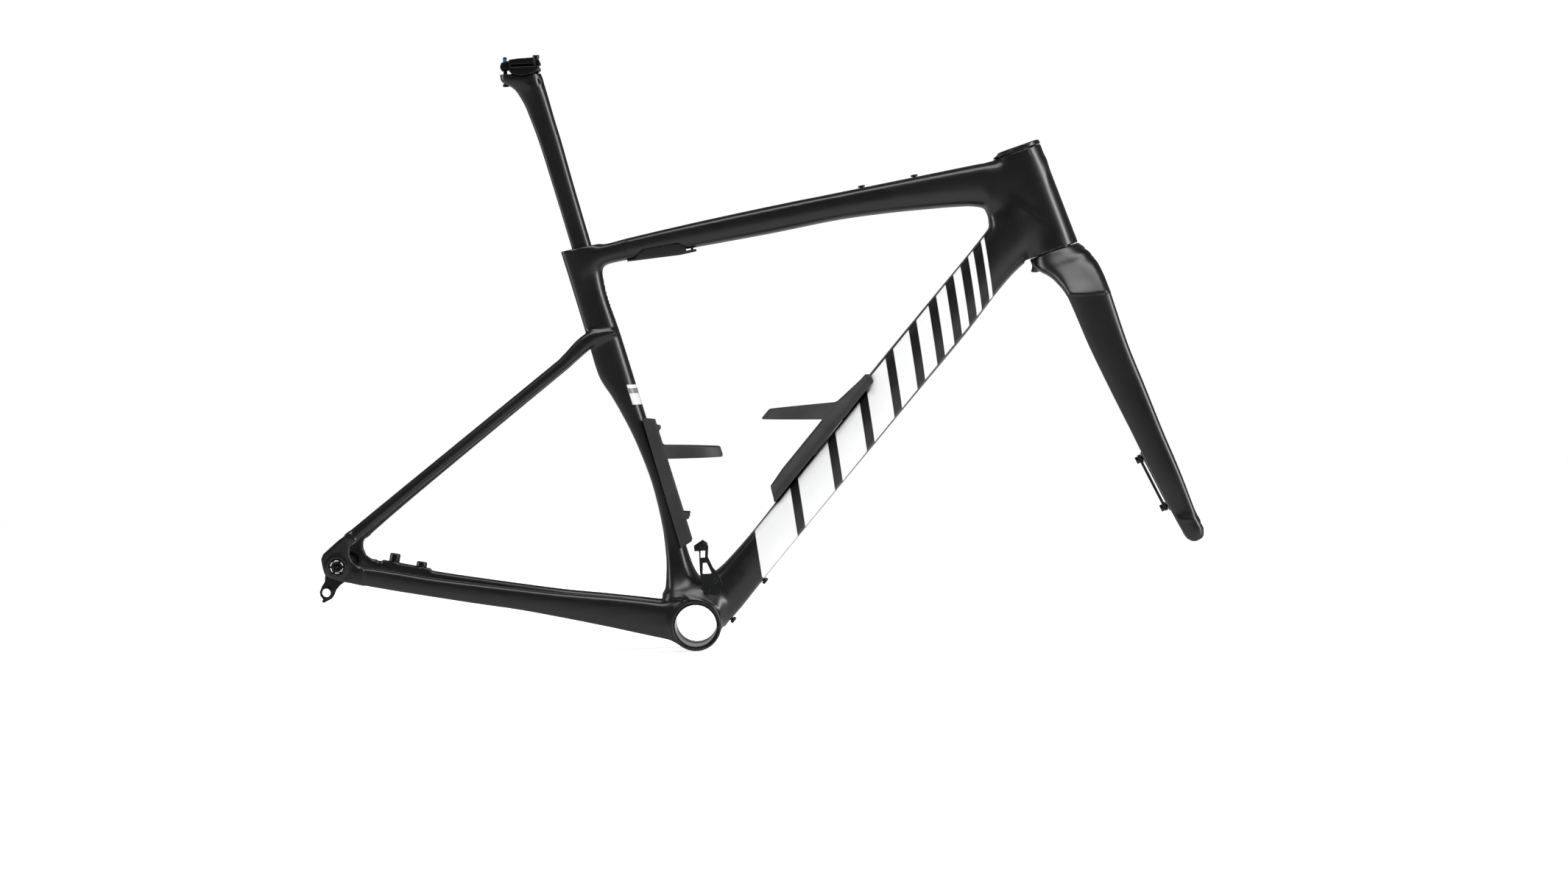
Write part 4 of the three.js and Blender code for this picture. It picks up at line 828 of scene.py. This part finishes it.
# ---------- seatpost and saddle clamp ----------
CLAMP_CENTRE = (-171.5, 664)
FRONT_SCREW_X, REAR_SCREW_X = -156.6, -192.4


def build_post():
    shell = Field((-206, -22, 294), (-56, 22, 645), 0.9)
    shell.add(tube(POST_SECTIONS, POST_STYLE, spacing=2.0))
    shell.cut(cross_rod(*CLAMP_CENTRE, -30, 30, 27.9), 0.8)
    for x in (FRONT_SCREW_X, REAR_SCREW_X):
        shell.cut(rod((x, 0, 612), (x, 0, 660), 2.8), 0.4)
    shell.cut(rod((REAR_SCREW_X, 0, 605), (REAR_SCREW_X, 0, 628.8), 4.2))
    shell.cut(cross_rod(FRONT_SCREW_X, 629, -9.3, 9.3, 4.2), 0.4)
    shell.cut(block(FRONT_SCREW_X - 3.2, FRONT_SCREW_X + 3.2, -5, 5, 629, 660))
    moulded("seatpost_shell", shell, "seatpost")


def build_clamp():
    grooves = [rod((-215, y, 647.6), (-130, y, 647.6), 3.6) for y in (-22, 22)]
    cradle = Field((-190, -29, 632), (-149, 29, 650), 0.5)
    dish = cross_rod(*CLAMP_CENTRE, -26, 26, 27.6, edge=0.8)
    cradle.add(Mix(dish, block(-186.5, -152.5, -26, 26, 630, 646.6, edge=0.8), "keep", 0.8))
    for cutter in [*grooves, block(FRONT_SCREW_X - 5.6, FRONT_SCREW_X + 5.6, -3, 3, 630, 650, edge=0.5),
                   block(-184, -163, -19, 19, 641.5, 650, edge=1)]:
        cradle.cut(cutter, 0.8)
    moulded("saddle_cradle_body", cradle, "saddle_clamp_cradle")

    jaw = Field((-202, -29, 640), (-147, 29, 659), 0.5)
    profile = [(-198, 648), (-196.4, 652.6), (-190, 654.2), (-176, 655.7), (-160, 656.2), (-153.4, 655.4),
               (-151.2, 650), (-152.4, 648), (-187.4, 648), (-187.4, 644.4), (-196.6, 643.6)]
    wide = Mix(plate(profile, -26, 26, edge=0.8), block(-186.5, -158, -26, 26, 640, 660, edge=1), "keep", 1)
    jaw.add(plate(profile, -9, 9, edge=0.8)).add(wide, 1.5)
    for cutter in grooves:
        jaw.cut(cutter, 0.8)
    for x in (FRONT_SCREW_X, REAR_SCREW_X):
        jaw.cut(block(x - 4.4, x + 4.4, -3, 3, 630, 672), 0.5)
    jaw.cut(block(REAR_SCREW_X - 4.9, REAR_SCREW_X + 4.9, -7, 7, 640, 651.8), 0.4)
    jaw.cut(block(FRONT_SCREW_X - 5.4, FRONT_SCREW_X + 5.4, -5.4, 5.4, 655.4, 665), 0.4)
    for y in (-16, 16):
        jaw.cut(block(-181, -164, y - 4, y + 4, 652, 662, edge=1.2), 1)
    moulded("saddle_jaw_body", jaw, "saddle_clamp_plate")


# ---------- bottle cages, each in a frame of its own: Z along the tube, X away from it ----------
BOTTLE = 37.0
SEAT_CAGE_FRAME = Matrix.Translation((SEAT_FRONT, 0, 0)) @ Matrix.Rotation(-math.atan(SEAT_SLOPE), 4, "Y")
DOWN_CAGE_FRAME = (Matrix.Translation((-18 * math.cos(DOWN_LEAN), 0, 18 * math.sin(DOWN_LEAN)))
                   @ Matrix.Rotation(DOWN_LEAN, 4, "Y") @ Matrix.Rotation(math.pi, 4, "Z"))


def flared(half, slope):
    """Everything closer to the middle plane than `half`, which grows with x."""
    length = math.hypot(1, slope)
    return Shape((-60, -60, -60), (60, 60, 500),
                 lambda x, y, z: (abs(y) - half - slope * x) / length + 0 * z)


def build_cage(name, place, tube_shape, wall, flare, arm, opening, foot, tabs, bolts):
    """`wall` and `foot` are outlines in the side view; `arm` and `tabs` cut a sleeve around the bottle."""
    axis = BOTTLE + 2.6
    cage = Field((-12, -45, wall[0][1] - 10), (axis + 48, 45, wall[0][1] + 195), 0.7)
    bottle = rod((axis, 0, 0), (axis, 0, 450), BOTTLE)
    sleeve = rod((axis, 0, 10), (axis, 0, 440), BOTTLE + 2.7)
    front = block(axis, 160, -opening, opening, -100, 500, edge=6)
    arms = Mix(Mix(sleeve, plate(arm, -60, 60), "keep", 1), front, "cut", 3)
    half, slope = flare
    hug = Mix(block(-15, -0.6, -30, 30, 0, 450), flared(half - 2.3, slope), "keep")
    outside = Mix(plate(wall, -24.2, 24.2, edge=0.8), flared(half, slope), "keep", 0.8)
    channel = Mix(outside, hug, "cut", 0.6)
    cage.add(Mix(channel, bottle, "cut", 1))
    for tab in tabs:
        cage.add(Mix(sleeve, plate(tab, -40, 40), "keep", 0.8), 0.8)
    cage.add(arms, 2.5).add(plate(foot, -9, 9, edge=0.6), 1.5)
    cage.cut(bottle, 0.6)
    for z in bolts:
        cage.cut(rod((-9, 0, z), (9, 0, z), 2.8), 0.5)
    cage.cut(block(-9, 30, -12, 12, bolts[0] + 10, bolts[1] - 10, edge=4), 1)
    cage.cut(moved_tube(tube_shape, place.inverted()))
    moulded(name + "_body", cage, name, place=place)


SEAT_WALL = [(-6.6, 92.4), (8.4, 97), (8.4, 243), (-1.8, 247.5), (-4.8, 247.5)]
SEAT_ARM = [(-5, 199.4), (80, 176.4), (80, 188), (-5, 216.4)]
SEAT_FOOT = [(0.4, 94.6), (22, 100.8), (22, 103.4), (5, 106.4), (0.4, 101)]
SEAT_TABS = [[(2, 134.4), (2, 121.8), (13, 122.8), (15.6, 129)],
             [(2, 240), (2, 227), (7, 227), (11.8, 231), (11.8, 234.5)]]
DOWN_WALL = [(0, 165.5), (15, 176), (17, 200), (17, 300), (11.8, 338), (11.6, 345.6), (7.5, 348.6),
             (0, 345)]
DOWN_ARM = [(-5, 292.8), (80, 223.6), (80, 237.5), (-5, 321.6)]
DOWN_FOOT = [(0.4, 165.6), (22, 176.4), (21.2, 179), (14, 177), (0.4, 170)]


# ---------- small plates ----------
def build_hanger():
    x, z = REAR_AXLE
    outline = [
        (-414.5, 90), (-416.6, 75), (-417, 70), (-420.5, 65), (-423.2, 59), (-422.6, 54), (-420, 50),
        (-421.4, 47), (-419, 46), (-410, 50.2), (-407, 54), (-404.5, 60), (-400, 65), (-394, 69),
        (-390, 78), (-392, 92),
        (-402, 98.5), (-410, 97)]
    hanger = Field((-428, -80, 42), (-384, -68, 103), 0.4)
    hanger.add(plate(outline, -75, -71, edge=0.5))
    hanger.add(cross_rod(-415.8, 57.2, -75.8, -71, 7, edge=0.4), 1)
    hanger.cut(cross_rod(-415.8, 57.2, -90, -60, 4.8), 0.6)
    hanger.cut(cross_rod(x, z, -90, -60, 6.3), 0.4)
    hanger.cut(cross_rod(-396, 73.6, -73, -60, 3.3), 0.3)
    moulded("derailleur_hanger_body", hanger, "derailleur_hanger")


def build_adapter():
    adapter = Field((1, -9, -38), (10, 9, 38), 0.4)
    adapter.add(block(4.3, 7.4, -7, 7, -35, 35, edge=0.6))
    for h in ADAPTER_BOLTS:
        adapter.add(rod((2.9, 0, h), (7.4, 0, h), 5, edge=0.3), 0.8)
    for h in ADAPTER_BOLTS:
        adapter.cut(rod((0, 0, h), (9, 0, h), 2.8), 0.3)
    adapter.cut(block(3, 9, -3.2, 3.2, -22, 22, edge=1.2), 0.5)
    moulded("front_adapter_body", adapter, "front_brake_adapter", place=FORK_TURN @ LEG_REAR)


def build_front_hanger():
    outline = [(1.6, 91), (2, 85), (7, 85), (7, 60), (10, 36), (18, 33), (29, 36), (32, 47), (28, 58),
               (22, 66), (17, 78), (18, 88), (17, 94), (12, 97.6)]
    head = [(1.6, 91), (2, 85), (16.6, 85), (18, 90), (12, 97.6)]
    windows = [[(8.6, 77.2), (13.6, 77.2), (14.2, 85), (9, 85)],
               [(10.2, 58.6), (20.6, 58.6), (15.4, 71), (11, 71)]]
    hanger = Field((-3, -44, 28), (37, -29, 102), 0.45)
    hanger.add(plate(outline, -36.3, -32.8, edge=0.6)).add(plate(head, -41, -33, edge=0.8), 1)
    for window in windows:
        hanger.cut(plate(window, -50, -20), 0.8)
    hanger.cut(cross_rod(12, 91, -50, -20, 2.8), 0.4)
    hanger.cut(tube(SEAT_SECTIONS[:6], SEAT_STYLE, grow=GAP))
    hanger.cut(tube(DOWN_SECTIONS[:6], DOWN_STYLE, grow=GAP))
    moulded("front_hanger_body", hanger, "front_derailleur_hanger")


def build_cover():
    cover = Field((-66, -15, 414), (22, 15, 440), 0.5)
    tray = [(-53, 421), (-52, 424.6), (-44, 432.3), (-3, 438.2), (6.3, 433.2), (6.3, 427)]
    lid = [(-62, 419.4), (-61, 422.2), (-20, 425), (18, 430.6), (18.4, 428), (0, 424.6)]
    cover.add(plate(tray, -11, 11, edge=0.5)).add(plate(lid, -8.5, 8.5, edge=0.7), 1.5)
    for x, z in ((-57, 421.3), (13.5, 429.2)):
        cover.cut(rod((x, 0, z), (x + 0.72, 0, z - 6), 2.9), 0.3)
    cover.cut(rod((-80.3, 0, 429.7), (-31, 0, 437.2), 5.6), 0.5)
    cover.cut(Mix(tube(TOP_SECTIONS[:5], TOP_STYLE, grow=0.2), plate(POCKET, -30, 30), "cut"))
    moulded("clamp_cover_body", cover, "seat_clamp_cover")


def along_y(x, z):
    return Matrix.Translation((x, 0, z)) @ Matrix.Rotation(-math.pi / 2, 4, "X")


def build_axle(node, centre, tip, head, place=Matrix()):
    """A thru-axle: hexagon socket in the head, a core left standing in the bored tip."""
    rings = [(tip + 0.9, 1.8), (tip + 1.2, 2.4), (tip + 9, 2.4), (tip + 9, 3.5), (tip + 0.3, 3.5),
             (tip, 3.8), (tip, 5.3), (tip + 0.7, 6), (head - 9, 6), (head - 9, 7.6), (head - 8.6, 8),
             (head - 0.8, 8), (head, 7.2), (head, 4.7), (head - 0.5, 3.9, "hex"), (head - 6, 3.9, "hex"),
             (head - 6.3, 2)]
    piece(node + "_body", *lathe(rings), node, place=place @ along_y(*centre))


def build_axles():
    x, z = REAR_AXLE
    nut = Field((x - 11, -85, z - 11), (x + 11, -74, z + 11), 0.35)
    nut.add(cross_rod(x, z, -83, -75.3, 9, edge=0.5)).cut(cross_rod(x, z, -90, -70, 6.3), 0.8)
    for k in range(3):
        turn = Matrix.Translation((x, 0, z)) @ Matrix.Rotation(k * math.pi / 3, 4, "Y")
        nut.cut(moved(block(-9.5, 9.5, -90, -80.2, -1.2, 1.2), turn), 0.3)
    body = moulded("rear_axle_nut_body", nut, "rear_axle_nut")
    repaint(body, SILVER, lambda px, py, pz: py < -80.4 and math.hypot(px - x, pz - z) < 7.6)
    build_axle("rear_thru_axle", REAR_AXLE, -81, 83)
    build_axle("front_thru_axle", FRONT_AXLE, -58, 66, FORK_TURN)
    cup = [(-61.6, 2), (-62, 2.8), (-62.2, 3.4), (-62.2, 7.2), (-61.5, 8), (-50.6, 8), (-50.2, 7.6),
           (-50.2, 6.6), (-50.6, 6.3), (-59, 6.3)]
    place = FORK_TURN @ along_y(*FRONT_AXLE)
    piece("front_axle_insert_body", *lathe(cup), "front_axle_insert", place=place)


def build_head_pieces():
    lid = Field((-34, -27, 120), (28, 27, 128.4), 0.4)
    sections = [(-31.2, 121.9, 25.1, 121.9, 24.6), (-31.7, 122.5, 25.5, 122.5, 24.9),
                (-25.2, 126, 24.9, 126, 24.4), (-24.8, 126.9, 24.3, 126.9, 23.8)]
    lid.add(tube(sections, HEAD_STYLE, spacing=0.4))
    lid.cut(rod((0, 0, 110), (0, 0, 140), 16.6), 0.5)
    moulded("top_cover_body", lid, "headset_top_cover", place=STEERING)
    plug = [(92, 3.4), (92, 11.1), (92.6, 11.65), (124, 11.65), (124, 8), (124.4, 8), (124.4, 13.8),
            (124.8, 14.3), (125.5, 14.3), (126, 13.8), (126, 5.9), (125.6, 5.4), (124.6, 5.4), (124.6, 3.4)]
    piece("steerer_plug_body", *lathe(plug, loop=True), "steerer_plug", place=FORK_TURN @ STEERING)


def build_clamp_pieces():
    for node, x, z, radius, half in (("front_clamp_nut", FRONT_SCREW_X, 629, 4, 9),
                                     ("rear_clamp_nut", REAR_SCREW_X, 648, 3.1, 6)):
        nut = Field((x - 5, -10, z - 5), (x + 5, 10, z + 5), 0.35)
        nut.add(cross_rod(x, z, -half, half, radius, edge=0.4))
        nut.cut(rod((x, 0, z - 9), (x, 0, z + 9), 2.5), 0.4)
        moulded(node + "_body", nut, node)
    pusher = Field((-101, -8, 423), (-80, 8, 435), 0.4)
    wedge = [(post_front(424) + 0.4, 424), (-81, 424), (-81, 434), (post_front(434) + 0.4, 434)]
    pusher.add(plate(wedge, -7, 7, edge=0.6))
    moulded("seat_clamp_pusher_body", pusher, "seat_clamp_pusher")


build_frame()
build_fork()
build_axles()
build_head_pieces()
build_clamp_pieces()
build_post()
build_clamp()
build_cage("seat_tube_cage", SEAT_CAGE_FRAME, tube(SEAT_SECTIONS[3:9], SEAT_STYLE, grow=GAP), SEAT_WALL,
           (21.2, 0.36), SEAT_ARM, 22.5, SEAT_FOOT, SEAT_TABS, (126, 190))
build_cage("down_tube_cage", DOWN_CAGE_FRAME, tube(DOWN_SECTIONS[4:12], DOWN_STYLE, grow=GAP), DOWN_WALL,
           (24.2, 0), DOWN_ARM, 20, DOWN_FOOT, [DOWN_WALL], (226, 290))
build_hanger()
build_adapter()
build_front_hanger()
build_cover()

for _name in sorted(frame["nodes"]):
    if "_screw" in _name or "bolt" in _name:
        _paint = THREADLOCK if _name == "rear_clamp_screw" else None
        screw(_name, _paint, swell=1.14 if "rear_brake" in _name else 1.0)
for _name in ("crown_race", "lower_bearing", "upper_bearing", "compression_ring"):
    ring(_name)
# the sleeve is dark on its left half and outer rim; only its right rim and the right half of its bore stay
# bare metal
repaint(ring("bottom_bracket_sleeve"), ALLOY, lambda x, y, z: y > 0 or math.hypot(x, z) > 24)


# ---------- stage ----------
BACKDROP_GLOW = 0.78
BACKDROP_BEND = (5, 1.8)  # where the floor starts to rise, and its radius there, in metres


def build_stage():
    floor = bpy.data.meshes.new("floor")
    start, radius = BACKDROP_BEND
    bend = [(start + radius * math.sin(a), radius - radius * math.cos(a))
            for a in np.linspace(0.05, math.pi / 2, 24)]
    depth = [(-9, 0), (start, 0), *bend, (start + radius, 9)]
    points = [(x, y, z - 0.001) for y, z in depth for x in (-12, 12)]
    floor.from_pydata(points, [], [(2 * i, 2 * i + 1, 2 * i + 3, 2 * i + 2) for i in range(len(depth) - 1)])
    floor.shade_smooth()
    n = Nodes("pale_backdrop")
    n.set(color=n.mix(n.noise(3, 3), grey(0.90), grey(0.93)), roughness=0.9, specular=0.1)
    seen = n.add("ShaderNodeLightPath").outputs["Is Camera Ray"]
    n.plug(n.shader.inputs["Emission Strength"], n.math("MULTIPLY", seen, BACKDROP_GLOW))
    n.shader.inputs["Emission Color"].default_value = (1, 1, 1, 1)
    floor.materials.append(n.material)
    linked("floor", floor)


AMBIENT = 0.08


def area_light(name, place, target, size, power, tall=None):
    light = bpy.data.lights.new(name, "AREA")
    light.energy, light.size = power, size
    if tall:
        light.shape, light.size_y = "RECTANGLE", tall
    obj = linked(name, light)
    obj.location = place
    obj.rotation_euler = (Vector(target) - Vector(place)).to_track_quat("-Z", "Y").to_euler()


CAMERA_DISTANCE = 4.508
CAMERA_OVER = (90.2, 309.1)  # the point of the middle plane straight ahead of the lens, in millimetres
CAMERA_ROLL = math.radians(2.40)
SCALE_AT_PLANE = 0.8473  # millimetres per pixel in the middle plane
IMAGE_WIDTH = 2130
AIM_RIGHT, AIM_DOWN = 28, 121  # how far the picture's middle lies from that point, in pixels


def build_camera():
    data = bpy.data.cameras.new("camera")
    data.sensor_width = 36
    data.lens = 36 * CAMERA_DISTANCE / (IMAGE_WIDTH * SCALE_AT_PLANE * MM)
    data.clip_end = 50
    obj = linked("camera", data)
    right = Vector((math.cos(CAMERA_ROLL), 0, -math.sin(CAMERA_ROLL)))
    up = Vector((math.sin(CAMERA_ROLL), 0, math.cos(CAMERA_ROLL)))
    over = ORIGIN + Vector((CAMERA_OVER[0], 0, CAMERA_OVER[1])) * MM
    target = over + (right * AIM_RIGHT - up * AIM_DOWN) * SCALE_AT_PLANE * MM
    obj.location = over - Vector((0, CAMERA_DISTANCE, 0))
    back = (obj.location - target).normalized()
    side = up.cross(back).normalized()
    turn = Matrix((side, back.cross(side), back)).transposed()
    obj.rotation_euler = turn.to_euler()
    bpy.context.scene.camera = obj


def build_light():
    world = bpy.data.worlds.new("studio")
    bpy.context.scene.world = world
    world.use_nodes = True
    tree = world.node_tree
    seen = tree.nodes.new("ShaderNodeLightPath")
    strength = tree.nodes.new("ShaderNodeMapRange")
    strength.inputs["To Min"].default_value = AMBIENT
    strength.inputs["To Max"].default_value = 1.0
    tree.links.new(seen.outputs["Is Camera Ray"], strength.inputs["Value"])
    tree.links.new(strength.outputs[0], tree.nodes["Background"].inputs["Strength"])
    tree.nodes["Background"].inputs["Color"].default_value = (1, 1, 1, 1)
    middle = (0, 0, 0.35)
    area_light("overhead", (0.2, -1.3, 3.1), middle, 2.6, 84, 1.2)
    area_light("left_strip", (-3.1, -0.3, 1.0), middle, 0.5, 70, 2.6)
    area_light("right_strip", (3.0, -1.2, 1.0), middle, 0.5, 110, 2.6)
    bpy.context.scene.view_settings.view_transform = "Standard"


build_stage()
build_camera()
build_light()
